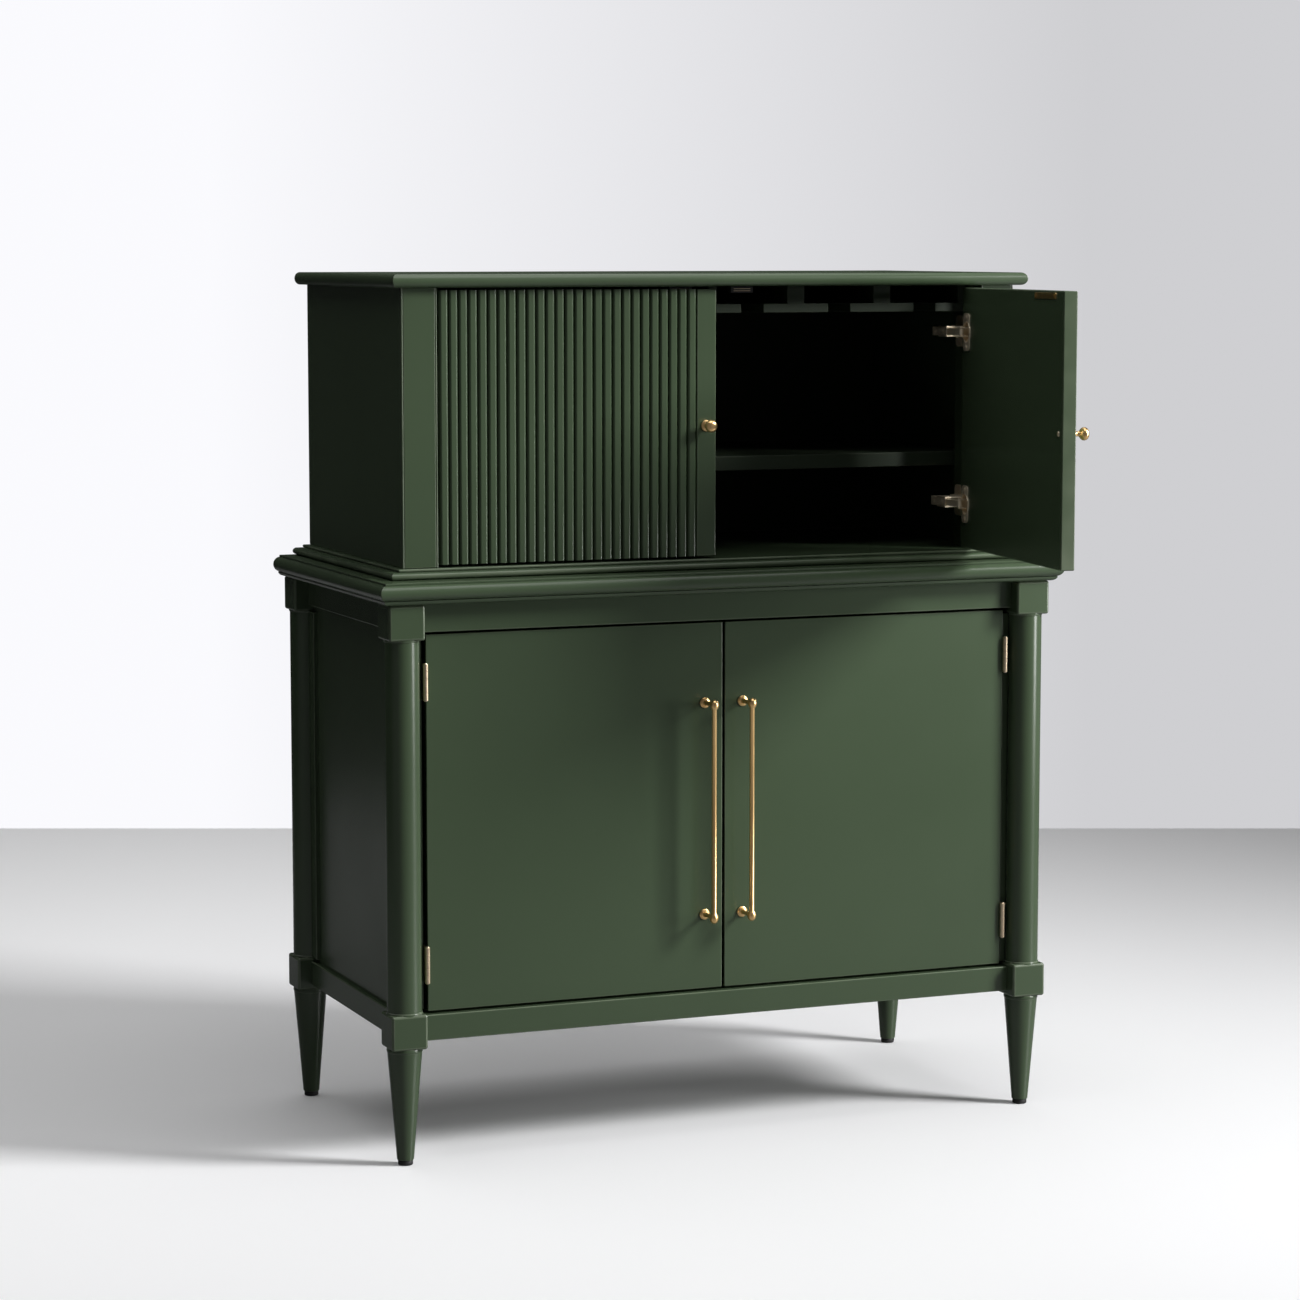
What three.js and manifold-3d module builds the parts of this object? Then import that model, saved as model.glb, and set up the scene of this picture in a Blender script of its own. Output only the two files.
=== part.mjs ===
// Bar cabinet in two stages, in millimetres, +Z up, standing on z = 0 with its front towards -Y.
// A lower cabinet on turned corner posts carries a narrower upper case with two reeded doors.
// Only the right upper door stands open at rest; every other door is shut.
import * as THREE from 'three';
import { mergeGeometries, mergeVertices } from 'three/addons/utils/BufferGeometryUtils.js';
import Module from 'manifold-3d';

const wasm = await Module();
wasm.setup();

// Driving dimensions
const baseWidth = 1112; // over the corner blocks
const baseDepth = 548; // over the corner blocks
const blockWidth = 57; // square blank that each post is turned from
const legLength = 182; // floor to the underside of the lower block
const blockHeight = 53.5;
const columnLength = 569.5;
const upperCaseWidth = 1030; // over the face stiles
const upperCaseHeight = 421.5; // plinth to the underside of the top board
const waistOverhang = 18; // waist board past the corner blocks
const upperSetback = 76; // upper case behind the waist board's front edge
const rightDoorOpening = 82; // degrees, where the right upper door stands at rest

// Small values that many pieces share
const jointGap = 0.3; // between two pieces that touch
const overrun = 5; // how far a cutting shape runs past a face
const turnedSides = 28;
const smallSides = 16;

const halfTurn = Math.PI;
const quarterTurn = halfTurn / 2;
const radians = THREE.MathUtils.degToRad;

// Finishes
const finishes = {
  lacquer: { color: 0x3c4a35, roughness: 0.42, metalness: 0 },
  brass: { color: 0xc79a4e, roughness: 0.3, metalness: 1 },
  bronze: { color: 0xa08463, roughness: 0.38, metalness: 1 },
  black: { color: 0x0d0d0d, roughness: 0.7, metalness: 0 },
};

const cabinet = new THREE.Group();

// Puts a geometry into the scene graph as one named piece with its own material.
function piece(parent, name, geometry, finish) {
  const mesh = new THREE.Mesh(geometry, new THREE.MeshStandardMaterial(finishes[finish]));
  mesh.name = name;
  parent.add(mesh);
  return mesh;
}

// A closed mesh with only shared positions, which booleans need.
function welded(geometry) {
  const bare = geometry.clone();
  bare.deleteAttribute('normal');
  bare.deleteAttribute('uv');
  return mergeVertices(bare);
}

function solidOf(geometry) {
  const bare = welded(geometry);
  return new wasm.Manifold(new wasm.Mesh({
    numProp: 3,
    vertProperties: new Float32Array(bare.attributes.position.array),
    triVerts: new Uint32Array(bare.index.array),
  }));
}

function geometryOf(solid) {
  const mesh = solid.getMesh();
  const geometry = new THREE.BufferGeometry();
  geometry.setAttribute('position', new THREE.BufferAttribute(mesh.vertProperties, mesh.numProp));
  geometry.setIndex(new THREE.BufferAttribute(mesh.triVerts, 1));
  geometry.computeVertexNormals();
  return geometry;
}

function joined(geometries) {
  return geometryOf(geometries.map(solidOf).reduce((whole, next) => whole.add(next)));
}

function cut(geometry, cutters) {
  return geometryOf(cutters.map(solidOf).reduce((whole, next) => whole.subtract(next), solidOf(geometry)));
}

// A plain block between two corners, given as ranges along each axis.
function block([x0, x1], [y0, y1], [z0, z1]) {
  const geometry = new THREE.BoxGeometry(Math.abs(x1 - x0), y1 - y0, z1 - z0);
  return geometry.translate((x0 + x1) / 2, (y0 + y1) / 2, (z0 + z1) / 2);
}

// A board between two corners with all its edges eased at 45 degrees.
function easedBoard(xRange, [y0, y1], [z0, z1], ease) {
  const x0 = Math.min(...xRange);
  const x1 = Math.max(...xRange);
  const outline = new THREE.Shape([
    new THREE.Vector2(x0 + ease, y0),
    new THREE.Vector2(x1 - ease, y0),
    new THREE.Vector2(x1, y0 + ease),
    new THREE.Vector2(x1, y1 - ease),
    new THREE.Vector2(x1 - ease, y1),
    new THREE.Vector2(x0 + ease, y1),
    new THREE.Vector2(x0, y1 - ease),
    new THREE.Vector2(x0, y0 + ease),
  ]);
  const geometry = new THREE.ExtrudeGeometry(outline, {
    depth: z1 - z0 - 2 * ease,
    bevelThickness: ease,
    bevelSize: ease,
    bevelOffset: -ease,
    bevelSegments: 1,
  });
  return geometry.translate(0, 0, z0 + ease);
}

// A plan outline of [x, y] points, extruded upwards between two heights.
function raised(points, [z0, z1]) {
  const outline = new THREE.Shape(points.map(([x, y]) => new THREE.Vector2(x, y)));
  const geometry = new THREE.ExtrudeGeometry(outline, { depth: z1 - z0, bevelEnabled: false });
  return geometry.translate(0, 0, z0);
}

// A section of [x, z] points, run backwards between two depths.
function runBack(points, [y0, y1]) {
  const outline = new THREE.Shape(points.map(([x, z]) => new THREE.Vector2(x, z)));
  const geometry = new THREE.ExtrudeGeometry(outline, { depth: y1 - y0, bevelEnabled: false });
  return geometry.rotateX(quarterTurn).translate(0, y1, 0);
}

// A turned piece about the vertical axis, from [radius, height] points that start and end on the axis.
function turned(points, sides) {
  const profile = points.map(([radius, height]) => new THREE.Vector2(radius, height));
  return new THREE.LatheGeometry(profile, sides).rotateX(quarterTurn);
}

// A turned piece that stands out to the front (-Y) from y = 0.
function turnedForward(points, sides) {
  const profile = points.map(([radius, height]) => new THREE.Vector2(radius, height));
  return new THREE.LatheGeometry(profile, sides).rotateX(halfTurn);
}

// A turned piece that stands out to the back (+Y) from y = 0.
function turnedBack(points, sides) {
  const profile = points.map(([radius, height]) => new THREE.Vector2(radius, height));
  return new THREE.LatheGeometry(profile, sides);
}

// Points along an arc, centre and radius in plan, angles in radians.
function arc([x, y], radius, from, to, steps) {
  return Array.from({ length: steps + 1 }, (unused, i) => {
    const angle = from + ((to - from) * i) / steps;
    return [x + radius * Math.cos(angle), y + radius * Math.sin(angle)];
  });
}

// A board whose front and two sides are moulded and mitred, while its back is flat.
// Each profile point is [how far in from the edge, height]; the list runs from the bottom to the top.
function mouldedBoard(halfWidth, front, back, profile) {
  const corners = profile.flatMap(([inset, z]) => [
    [-halfWidth + inset, front + inset, z],
    [halfWidth - inset, front + inset, z],
    [halfWidth - inset, back, z],
    [-halfWidth + inset, back, z],
  ]);
  const faces = [];
  const perRing = 4;
  for (let ring = 0; ring + 1 < profile.length; ring += 1) {
    for (let i = 0; i < perRing; i += 1) {
      const a = ring * perRing + i;
      const b = ring * perRing + ((i + 1) % perRing);
      faces.push(a, b, b + perRing);
      faces.push(a, b + perRing, a + perRing);
    }
  }
  const top = (profile.length - 1) * perRing;
  faces.push(0, 2, 1);
  faces.push(0, 3, 2);
  faces.push(top, top + 1, top + 2);
  faces.push(top, top + 2, top + 3);
  const geometry = new THREE.BufferGeometry();
  geometry.setAttribute('position', new THREE.Float32BufferAttribute(corners.flat(), 3));
  geometry.setIndex(faces);
  geometry.computeVertexNormals();
  return geometry;
}

// A half-round nose, as profile points from its bottom to its top.
function nose(bottom, thickness, reach, steps) {
  return Array.from({ length: steps + 1 }, (unused, i) => {
    const angle = -quarterTurn + (halfTurn * i) / steps;
    return [reach * (1 - Math.cos(angle)), bottom + (thickness / 2) * (1 + Math.sin(angle))];
  });
}

// Heights of the main levels
const lowerBlockTop = legLength + blockHeight;
const upperBlockBottom = lowerBlockTop + columnLength;
const baseTop = upperBlockBottom + blockHeight;

// Places in plan: x is counted from the middle, y from the front faces of the corner blocks
const baseHalf = baseWidth / 2;
const postX = baseHalf - blockWidth / 2;
const postFrontY = blockWidth / 2;
const postBackY = baseDepth - blockWidth / 2;
const sides = [['left', -1], ['right', 1]];
const ends = [['front', postFrontY], ['back', postBackY]];

// Glides: black discs under the four legs
const glideHeight = 8;
const glideRadius = 11.5;
const glideEase = 1.5;

function makeGlide() {
  return turned([
    [0, 0],
    [glideRadius - glideEase, 0],
    [glideRadius, glideEase],
    [glideRadius, glideHeight - jointGap],
    [0, glideHeight - jointGap],
  ], smallSides);
}

// Corner posts: leg, lower block, column and upper block turned in one length
const legTopRadius = 27.5;
const legFootRadius = 13;
const columnRadius = 26.7;
const blockEase = 2.5;

function makePost() {
  const half = blockWidth / 2;
  const blockAt = (bottom) => easedBoard([-half, half], [-half, half], [bottom, bottom + blockHeight], blockEase);
  return joined([
    turned([
      [0, glideHeight],
      [legFootRadius, glideHeight],
      [legTopRadius, legLength],
      [legTopRadius, legLength + blockEase],
      [0, legLength + blockEase],
    ], turnedSides),
    blockAt(legLength),
    turned([
      [0, lowerBlockTop - blockEase],
      [columnRadius, lowerBlockTop - blockEase],
      [columnRadius, upperBlockBottom + blockEase],
      [0, upperBlockBottom + blockEase],
    ], turnedSides),
    blockAt(upperBlockBottom),
  ]);
}

for (const [side, sign] of sides) {
  for (const [end, y] of ends) {
    piece(cabinet, `glide_${end}_${side}`, makeGlide(), 'black').position.set(sign * postX, y, 0);
    piece(cabinet, `post_${end}_${side}`, makePost(), 'lacquer').position.set(sign * postX, y, 0);
  }
}

// Rails: boards tenoned between the blocks, set back from the blocks' faces
const railInset = 22;
const railThickness = 22;
const bottomRailHeight = 40;
const bottomRailDrop = 5.5; // top of the bottom rail below the top of the lower block
const topRailHeight = 43.5;
const edgeEase = 2;
const bottomRailTop = lowerBlockTop - bottomRailDrop;
const bottomRailLevels = [bottomRailTop - bottomRailHeight, bottomRailTop];
const topRailLevels = [baseTop - topRailHeight, baseTop];
const railBack = railInset + railThickness;
const betweenBlocksX = baseHalf - blockWidth - jointGap;
const betweenBlocksY = [blockWidth + jointGap, baseDepth - blockWidth - jointGap];

for (const [level, heights] of [['bottom', bottomRailLevels], ['top', topRailLevels]]) {
  const front = easedBoard([-betweenBlocksX, betweenBlocksX], [railInset, railBack], heights, edgeEase);
  piece(cabinet, `${level}_rail_front`, front, 'lacquer');
  for (const [side, sign] of sides) {
    const across = [sign * (baseHalf - railInset), sign * (baseHalf - railBack)];
    piece(cabinet, `${level}_rail_${side}`, easedBoard(across, betweenBlocksY, heights, edgeEase), 'lacquer');
  }
}

// Side frames: a recessed panel with a stile at each end, scooped to fit the round columns.
// The front stile runs on inwards as the stile that the lower door hangs from.
const panelRecess = 30; // panel behind the blocks' outer faces
const stileRecess = 24;
const stileReach = 24; // stile seen past the block
const doorStileFront = 38;
const doorStileBack = 66;
const hingeGap = 4; // between the door stile and the edge of the lower door
const lowerDoorEdge = 67; // edge of the lower door in from the blocks' outer faces
const doorStileEdge = lowerDoorEdge - hingeGap;
const scoopSteps = 8;
const cleatSection = 12;
const lowerShelfRise = 310; // shelf's top above the deck
const lowerShelfThickness = 20;
const lowerShelfTop = bottomRailTop + lowerShelfRise;
const shelfSetback = 14; // lower shelf behind the door stile

function makeSideFrame(sign) {
  const inFrom = (distance) => sign * (baseHalf - distance);
  const scoopRadius = columnRadius + jointGap;
  const scoopEdge = postFrontY + Math.sqrt(scoopRadius ** 2 - (stileRecess - postFrontY) ** 2);
  const scoopStart = Math.atan2(scoopEdge - postFrontY, stileRecess - postFrontY);
  const doorStileStart = Math.asin((doorStileFront - postFrontY) / scoopRadius);
  const panelLevels = [bottomRailTop + jointGap, topRailLevels[0] - jointGap];
  const stileLevels = [lowerBlockTop + jointGap, upperBlockBottom - jointGap];
  const frontStile = [
    ...arc([postFrontY, postFrontY], scoopRadius, doorStileStart, scoopStart, scoopSteps),
    [stileRecess, blockWidth + stileReach],
    [railBack, blockWidth + stileReach],
    [railBack, doorStileBack],
    [doorStileEdge, doorStileBack],
    [doorStileEdge, doorStileFront],
  ];
  const innerScoop = Math.acos((railBack - postFrontY) / scoopRadius);
  const backStile = [
    ...arc([postFrontY, postFrontY], scoopRadius, innerScoop, scoopStart, scoopSteps),
    [stileRecess, blockWidth + stileReach],
    [railBack, blockWidth + stileReach],
  ];
  const shelfUnderside = lowerShelfTop - lowerShelfThickness;
  return joined([
    block([inFrom(panelRecess), inFrom(railBack)], betweenBlocksY, panelLevels),
    raised(frontStile.map(([x, y]) => [inFrom(x), y]), stileLevels),
    raised(backStile.map(([x, y]) => [inFrom(x), baseDepth - y]), stileLevels),
    block(
      [inFrom(railBack - jointGap), inFrom(railBack + cleatSection)],
      [doorStileBack + shelfSetback, baseDepth - blockWidth - shelfSetback],
      [shelfUnderside - jointGap - cleatSection, shelfUnderside - jointGap],
    ),
  ]);
}

for (const [side, sign] of sides) {
  piece(cabinet, `side_frame_${side}`, makeSideFrame(sign), 'lacquer');
}

// Lower back: one panel let in between the back posts
const backRecess = 8;
const backThickness = 9;
const lowerBackFront = baseDepth - backRecess - backThickness;
piece(cabinet, 'lower_back', block(
  [-betweenBlocksX, betweenBlocksX],
  [lowerBackFront, baseDepth - backRecess],
  [bottomRailLevels[0], baseTop],
), 'lacquer');

// Deck and lower shelf: boards notched round the posts
const deckThickness = 18;
const insideX = baseHalf - railBack - jointGap;
const insideBack = lowerBackFront - jointGap;

function notchedBoard(front, frontNotched, levels) {
  const [notchFront, notchBack] = betweenBlocksY;
  const frontCorner = frontNotched ? [[betweenBlocksX, front], [betweenBlocksX, notchFront]] : [];
  const half = [
    ...frontCorner,
    [insideX, frontNotched ? notchFront : front],
    [insideX, notchBack],
    [betweenBlocksX, notchBack],
    [betweenBlocksX, insideBack],
  ];
  const mirrored = half.map(([x, y]) => [-x, y]).reverse();
  return raised([...half, ...mirrored], levels);
}

const deckLevels = [bottomRailTop - deckThickness, bottomRailTop];
const lowerShelfLevels = [lowerShelfTop - lowerShelfThickness, lowerShelfTop];
piece(cabinet, 'deck', notchedBoard(railBack + jointGap, true, deckLevels), 'lacquer');
piece(cabinet, 'lower_shelf', notchedBoard(doorStileBack + shelfSetback, false, lowerShelfLevels), 'lacquer');

// Waist board: a fat half-round nose with a small bead under it and a fillet on top
const underBeadHeight = 7.5;
const underBeadInset = 8;
const waistNose = 24;
const waistNoseReach = 12;
const filletHeight = 3;
const filletInset = 11;
const noseSteps = 8;
const beadSteps = 3;
const waistHalf = baseHalf + waistOverhang;
const waistNoseBottom = baseTop + underBeadHeight;
const waistNoseTop = waistNoseBottom + waistNose;
const waistTop = waistNoseTop + filletHeight;
const underBead = arc([0, 0], 1, -quarterTurn, 0, beadSteps).map(([out, up]) => [
  waistOverhang - out * (waistOverhang - underBeadInset),
  baseTop + jointGap + (underBeadHeight - jointGap) * (1 + up),
]);
piece(cabinet, 'waist_board', mouldedBoard(waistHalf, -waistOverhang, baseDepth, [
  ...underBead,
  ...nose(waistNoseBottom, waistNose, waistNoseReach, noseSteps),
  [filletInset, waistNoseTop],
  [filletInset, waistTop],
]), 'lacquer');

// Plinth: bottom board of the upper case, with a torus and a bead that run round its foot
const torusHeight = 11;
const torusReach = 26; // past the face of the upper case
const torusNose = 6.5;
const beadHeight = 4.5;
const beadReach = 9;
const beadNose = 2.5;
const upperHalf = upperCaseWidth / 2;
const upperFront = -waistOverhang + upperSetback;
const plinthTop = waistTop + torusHeight + beadHeight;
const plinthBottom = waistTop + jointGap;
const beadInset = torusReach - beadReach;
const smallNoseSteps = 6;
const plinthProfile = [
  ...nose(plinthBottom, torusHeight - jointGap, torusNose, smallNoseSteps),
  ...nose(waistTop + torusHeight, beadHeight, beadNose, smallNoseSteps).map(([inset, z]) => [inset + beadInset, z]),
];
piece(
  cabinet,
  'upper_plinth',
  mouldedBoard(upperHalf + torusReach, upperFront - torusReach, baseDepth, plinthProfile),
  'lacquer',
);

// Upper case: two sides, two face stiles with a return behind, a back and a shelf
const upperBottom = plinthTop + jointGap;
const upperTop = plinthTop + upperCaseHeight;
const upperLevels = [upperBottom, upperTop - jointGap];
const faceStileWidth = 57;
const faceStileThickness = 24;
const returnThickness = 18;
const returnDepth = 66;
const upperSideRecess = 3; // sides behind the stiles' outer edges
const upperSideThickness = 18;
const upperBackRecess = 6;
const upperBackThickness = 8;
const upperShelfRise = 152.5; // shelf's top above the plinth
const upperShelfThickness = 23;
const upperShelfSetback = 92;
const upperShelfTop = plinthTop + upperShelfRise;
const openingHalf = upperHalf - faceStileWidth;
const faceStileBack = upperFront + faceStileThickness;
const upperInsideHalf = upperHalf - upperSideRecess - upperSideThickness;
const upperBackFront = baseDepth - upperBackRecess - upperBackThickness;

function makeFaceStile(sign) {
  return raised([
    [openingHalf, upperFront + edgeEase],
    [openingHalf + edgeEase, upperFront],
    [upperHalf - edgeEase, upperFront],
    [upperHalf, upperFront + edgeEase],
    [upperHalf, faceStileBack],
    [openingHalf + returnThickness, faceStileBack],
    [openingHalf + returnThickness, faceStileBack + returnDepth],
    [openingHalf, faceStileBack + returnDepth],
  ].map(([x, y]) => [sign * x, y]), upperLevels);
}

for (const [side, sign] of sides) {
  const across = [sign * upperInsideHalf, sign * (upperHalf - upperSideRecess)];
  piece(cabinet, `upper_side_${side}`, block(across, [faceStileBack + jointGap, baseDepth], upperLevels), 'lacquer');
  piece(cabinet, `face_stile_${side}`, makeFaceStile(sign), 'lacquer');
}
piece(cabinet, 'upper_back', block(
  [-upperInsideHalf + jointGap, upperInsideHalf - jointGap],
  [upperBackFront, baseDepth - upperBackRecess],
  upperLevels,
), 'lacquer');
piece(cabinet, 'upper_shelf', block(
  [-upperInsideHalf + jointGap, upperInsideHalf - jointGap],
  [upperFront + upperShelfSetback, upperBackFront - jointGap],
  [upperShelfTop - upperShelfThickness, upperShelfTop],
), 'lacquer');

// Top board: half-round nose on the front and the sides
const topThickness = 20;
const topOverhang = 18;
const topNoseReach = 9;
piece(cabinet, 'top_board', mouldedBoard(
  upperHalf + topOverhang,
  upperFront - topOverhang,
  baseDepth,
  nose(upperTop, topThickness, topNoseReach, noseSteps),
), 'lacquer');

// Hanging rack: T-shaped rails under the top board, over the right-hand half, with a slot between each two
const rackSlots = 3;
const slotWidth = 38;
const rackFlange = 14;
const rackStemWidth = 30;
const rackDrop = 42; // underside of the rails below the top board
const rackFrontSetback = 36;
const rackSideGap = 8;
const rackPitch = (openingHalf - rackSideGap) / rackSlots;
const rackRun = [upperFront + rackFrontSetback, upperBackFront - jointGap];

function makeRackRail(index) {
  const middle = index * rackPitch;
  const reachLeft = index > 0 ? (rackPitch - slotWidth) / 2 : 0;
  const reachRight = index < rackSlots ? (rackPitch - slotWidth) / 2 : 0;
  const stemLeft = index > 0 ? rackStemWidth / 2 : 0;
  const stemRight = index < rackSlots ? rackStemWidth / 2 : 0;
  const bottom = upperTop - rackDrop;
  return runBack([
    [middle - reachLeft, bottom],
    [middle + reachRight, bottom],
    [middle + reachRight, bottom + rackFlange],
    [middle + stemRight, bottom + rackFlange],
    [middle + stemRight, upperTop - jointGap],
    [middle - stemLeft, upperTop - jointGap],
    [middle - stemLeft, bottom + rackFlange],
    [middle - reachLeft, bottom + rackFlange],
  ].filter(([x, z], i, all) => {
    const [previousX, previousZ] = all[(i + all.length - 1) % all.length];
    return x !== previousX || z !== previousZ;
  }), rackRun);
}

for (let index = 0; index <= rackSlots; index += 1) {
  piece(cabinet, `rack_rail_${index + 1}`, makeRackRail(index), 'lacquer');
}

// Lower doors: flat slabs inset between the posts, on butt hinges, each with a long bar pull
const doorThickness = 22;
const lowerDoorFace = 30;
const doorClearance = 4; // above, below and between the doors
const doorEase = 1.6;
const lowerDoorLevels = [bottomRailTop + doorClearance, topRailLevels[0] - doorClearance];
const hingeAxisX = baseHalf - doorStileEdge - hingeGap / 2;
const hingeAxisY = 26;
const lowerDoorWidth = baseHalf - lowerDoorEdge - doorClearance / 2;

// Butt hinge: two leaves on one pin; the frame leaf carries the pin and the outer knuckles
const hingeHeight = 56;
const hingeInset = 72; // hinge centre from the door's end
const knuckleRadius = 4.2;
const knuckleGap = 0.4;
const middleKnuckleShare = 1 / 3; // of the hinge's height
const pinRadius = 2;
const pinHead = 1.4;
const leafThickness = 1.25;
const leafWidth = 23; // from the axis to the leaf's back edge
const leafStart = knuckleRadius + knuckleGap;

function knuckle(z0, z1) {
  return turned([[0, z0], [knuckleRadius, z0], [knuckleRadius, z1], [0, z1]], smallSides);
}

// x runs from the axis towards the door, y to the back; the leaf lies beside its own wood.
function leafPlate(inner, outer, tongues) {
  const half = hingeHeight / 2;
  return [
    block([inner, outer], [leafStart, leafWidth], [-half, half]),
    ...tongues.map((levels) => block([inner, outer], [0, leafStart + leafThickness], levels)),
  ];
}

function makeFrameLeaf(sign) {
  const half = hingeHeight / 2;
  const split = (hingeHeight * middleKnuckleShare) / 2;
  const inner = -sign * (hingeGap / 2 - jointGap);
  const outer = inner + sign * leafThickness;
  const outerKnuckles = [[-half, -split - knuckleGap / 2], [split + knuckleGap / 2, half]];
  return joined([
    turned([
      [0, -half - pinHead],
      [pinRadius, -half - pinHead],
      [pinRadius, half + pinHead],
      [0, half + pinHead],
    ], smallSides),
    ...outerKnuckles.map(([z0, z1]) => knuckle(z0, z1)),
    ...leafPlate(inner, outer, outerKnuckles),
  ]);
}

function makeDoorLeaf(sign) {
  const split = (hingeHeight * middleKnuckleShare) / 2;
  const inner = sign * (hingeGap / 2 - jointGap);
  const outer = inner - sign * leafThickness;
  const levels = [-split + knuckleGap / 2, split - knuckleGap / 2];
  const bore = new THREE.CylinderGeometry(
    pinRadius + jointGap,
    pinRadius + jointGap,
    hingeHeight,
    smallSides,
  ).rotateX(quarterTurn);
  return cut(joined([knuckle(...levels), ...leafPlate(inner, outer, [levels])]), [bore]);
}

// Bar pull: a slim bar between two oval caps, each on a short post and a round rosette
const pullSpacing = 334;
const pullBarRadius = 3.9;
const capRadius = 6.2;
const capHalfHeight = 8.5;
const pullProjection = 38; // door face to the bar's axis
const pullPostRadius = 3.6;
const rosetteRadius = 8.5;
const rosetteHeight = 4;
const rosetteEase = 1.4;
const pullInset = 30; // bar's axis from the free edge of the door
const pullDrop = 3.5; // middle of the bar below the middle of the door
const capSteps = 8;

function makePull() {
  const half = pullSpacing / 2;
  const necking = Math.acos(pullBarRadius / capRadius);
  const capArc = (centre, from, to) => arc([0, 0], 1, from, to, capSteps).map(([out, up]) => [
    capRadius * Math.abs(out),
    centre + capHalfHeight * up,
  ]);
  const lowerCap = capArc(-half, -quarterTurn, necking);
  const upperCap = capArc(half, -necking, quarterTurn);
  lowerCap[0][0] = 0;
  upperCap[capSteps][0] = 0;
  const mount = () => turnedForward([
    [0, jointGap],
    [rosetteRadius, jointGap],
    [rosetteRadius, rosetteHeight - rosetteEase],
    [rosetteRadius - rosetteEase, rosetteHeight],
    [pullPostRadius, rosetteHeight],
    [pullPostRadius, pullProjection],
    [0, pullProjection],
  ], smallSides);
  return joined([
    turned([...lowerCap, ...upperCap], smallSides).translate(0, -pullProjection, 0),
    mount().translate(0, 0, -half),
    mount().translate(0, 0, half),
  ]);
}

for (const [side, sign] of sides) {
  const door = new THREE.Group();
  door.position.set(sign * hingeAxisX, hingeAxisY, 0);
  const face = lowerDoorFace - hingeAxisY;
  const edge = hingeGap / 2;
  const across = [-sign * edge, -sign * (edge + lowerDoorWidth)];
  const slab = easedBoard(across, [face, face + doorThickness], lowerDoorLevels, doorEase);
  piece(door, `lower_door_${side}`, slab, 'lacquer');
  const pullX = -sign * (edge + lowerDoorWidth - pullInset);
  const pullHeight = (lowerDoorLevels[0] + lowerDoorLevels[1]) / 2 - pullDrop;
  piece(door, `bar_pull_${side}`, makePull(), 'brass').position.set(pullX, face, pullHeight);
  const hingeLevels = [
    ['bottom', lowerDoorLevels[0] + hingeInset],
    ['top', lowerDoorLevels[1] - hingeInset],
  ];
  for (const [level, z] of hingeLevels) {
    piece(door, `butt_door_leaf_${level}_${side}`, makeDoorLeaf(-sign), 'bronze').position.z = z;
    const frameLeaf = piece(cabinet, `butt_frame_leaf_${level}_${side}`, makeFrameLeaf(-sign), 'bronze');
    frameLeaf.position.set(sign * hingeAxisX, hingeAxisY, z);
  }
  cabinet.add(door);
}

// Upper doors: reeded on the outside, plain inside, on concealed hinges let into round bores
const upperDoorGap = 3; // between the face stile and the edge of the upper door
const reedCount = 27;
const reedDepth = 5.5;
const reedGroove = 1.4;
const lockStileWidth = 32;
const reedSteps = 6;
const upperDoorLevels = [plinthTop + doorClearance, upperTop - doorClearance];
const midGapX = openingHalf - upperDoorGap / 2;
const upperDoorEdge = upperDoorGap / 2;
const upperDoorWidth = openingHalf - upperDoorGap - doorClearance / 2;

// The hinges carry each door about a line in front of its face, so that it swings clear of its stile
const pivotInset = 4.5; // from the middle of the gap at the stile
const pivotProud = 5; // in front of the door's outer face

// Concealed hinge: cup and flange in the door, a link on the cup's pin, an arm and plate on the return
const cupRadius = 17.3;
const cupDepth = 12;
const cupWall = 1.5;
const cupInset = 22.5; // cup's centre from the door's edge
const flangeThickness = 1.5;
const flangeHeight = 60;
const flangeWidth = 29;
const flangeEase = 0.3;
const upperHingeInset = 70;
const linkPinX = 14; // pin of the link from the middle of the gap, along the door
const linkPinY = 28; // and behind the door's outer face
const linkPinRadius = 1.5;
const linkWidth = 6;
const linkHalfHeight = 4.5;
const linkLength = 53;
const lugThickness = 2;
const lugWidth = 8;
const lugRise = 3.5; // past the link's pin
const slideGap = 0.5; // between the link and the arm's channel
const armFront = 33;
const armLength = 50;
const armMouth = 43; // how far the channel's open side stands off the gap
const armBack = 9.5;
const armWall = 2;
const plateHalfHeight = 25;
const plateThickness = 2;
const riserHalfHeight = 9;
const cupSides = 20;

function reededSlab(sign) {
  const edge = upperDoorEdge;
  const free = edge + upperDoorWidth;
  const reedPitch = (upperDoorWidth - lockStileWidth) / reedCount;
  const reedHalf = (reedPitch - reedGroove) / 2;
  const reeds = Array.from({ length: reedCount }, (unused, i) => {
    const centre = edge + reedPitch * (i + 1 / 2);
    return Array.from({ length: reedSteps + 1 }, (alsoUnused, step) => {
      const angle = halfTurn * (1 - step / reedSteps);
      return [centre + reedHalf * Math.cos(angle), reedDepth * (1 - Math.sin(angle))];
    });
  }).flat();
  const lockStile = free - lockStileWidth;
  return raised([
    [edge, doorThickness],
    [edge, reedDepth],
    ...reeds,
    [lockStile, reedDepth],
    [lockStile, doorEase],
    [lockStile + doorEase, 0],
    [free - doorEase, 0],
    [free, doorEase],
    [free, doorThickness - doorEase],
    [free - doorEase, doorThickness],
  ].map(([x, y]) => [-sign * x, y]), upperDoorLevels);
}

function makeUpperDoor(sign, hingeHeights) {
  const radius = cupRadius + jointGap;
  const floor = doorThickness - cupDepth - jointGap;
  const bores = hingeHeights.map((z) => turnedBack([
    [0, floor],
    [radius, floor],
    [radius, doorThickness + overrun],
    [0, doorThickness + overrun],
  ], cupSides).translate(-sign * (upperDoorEdge + cupInset), 0, z));
  return cut(reededSlab(sign), bores);
}

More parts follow.
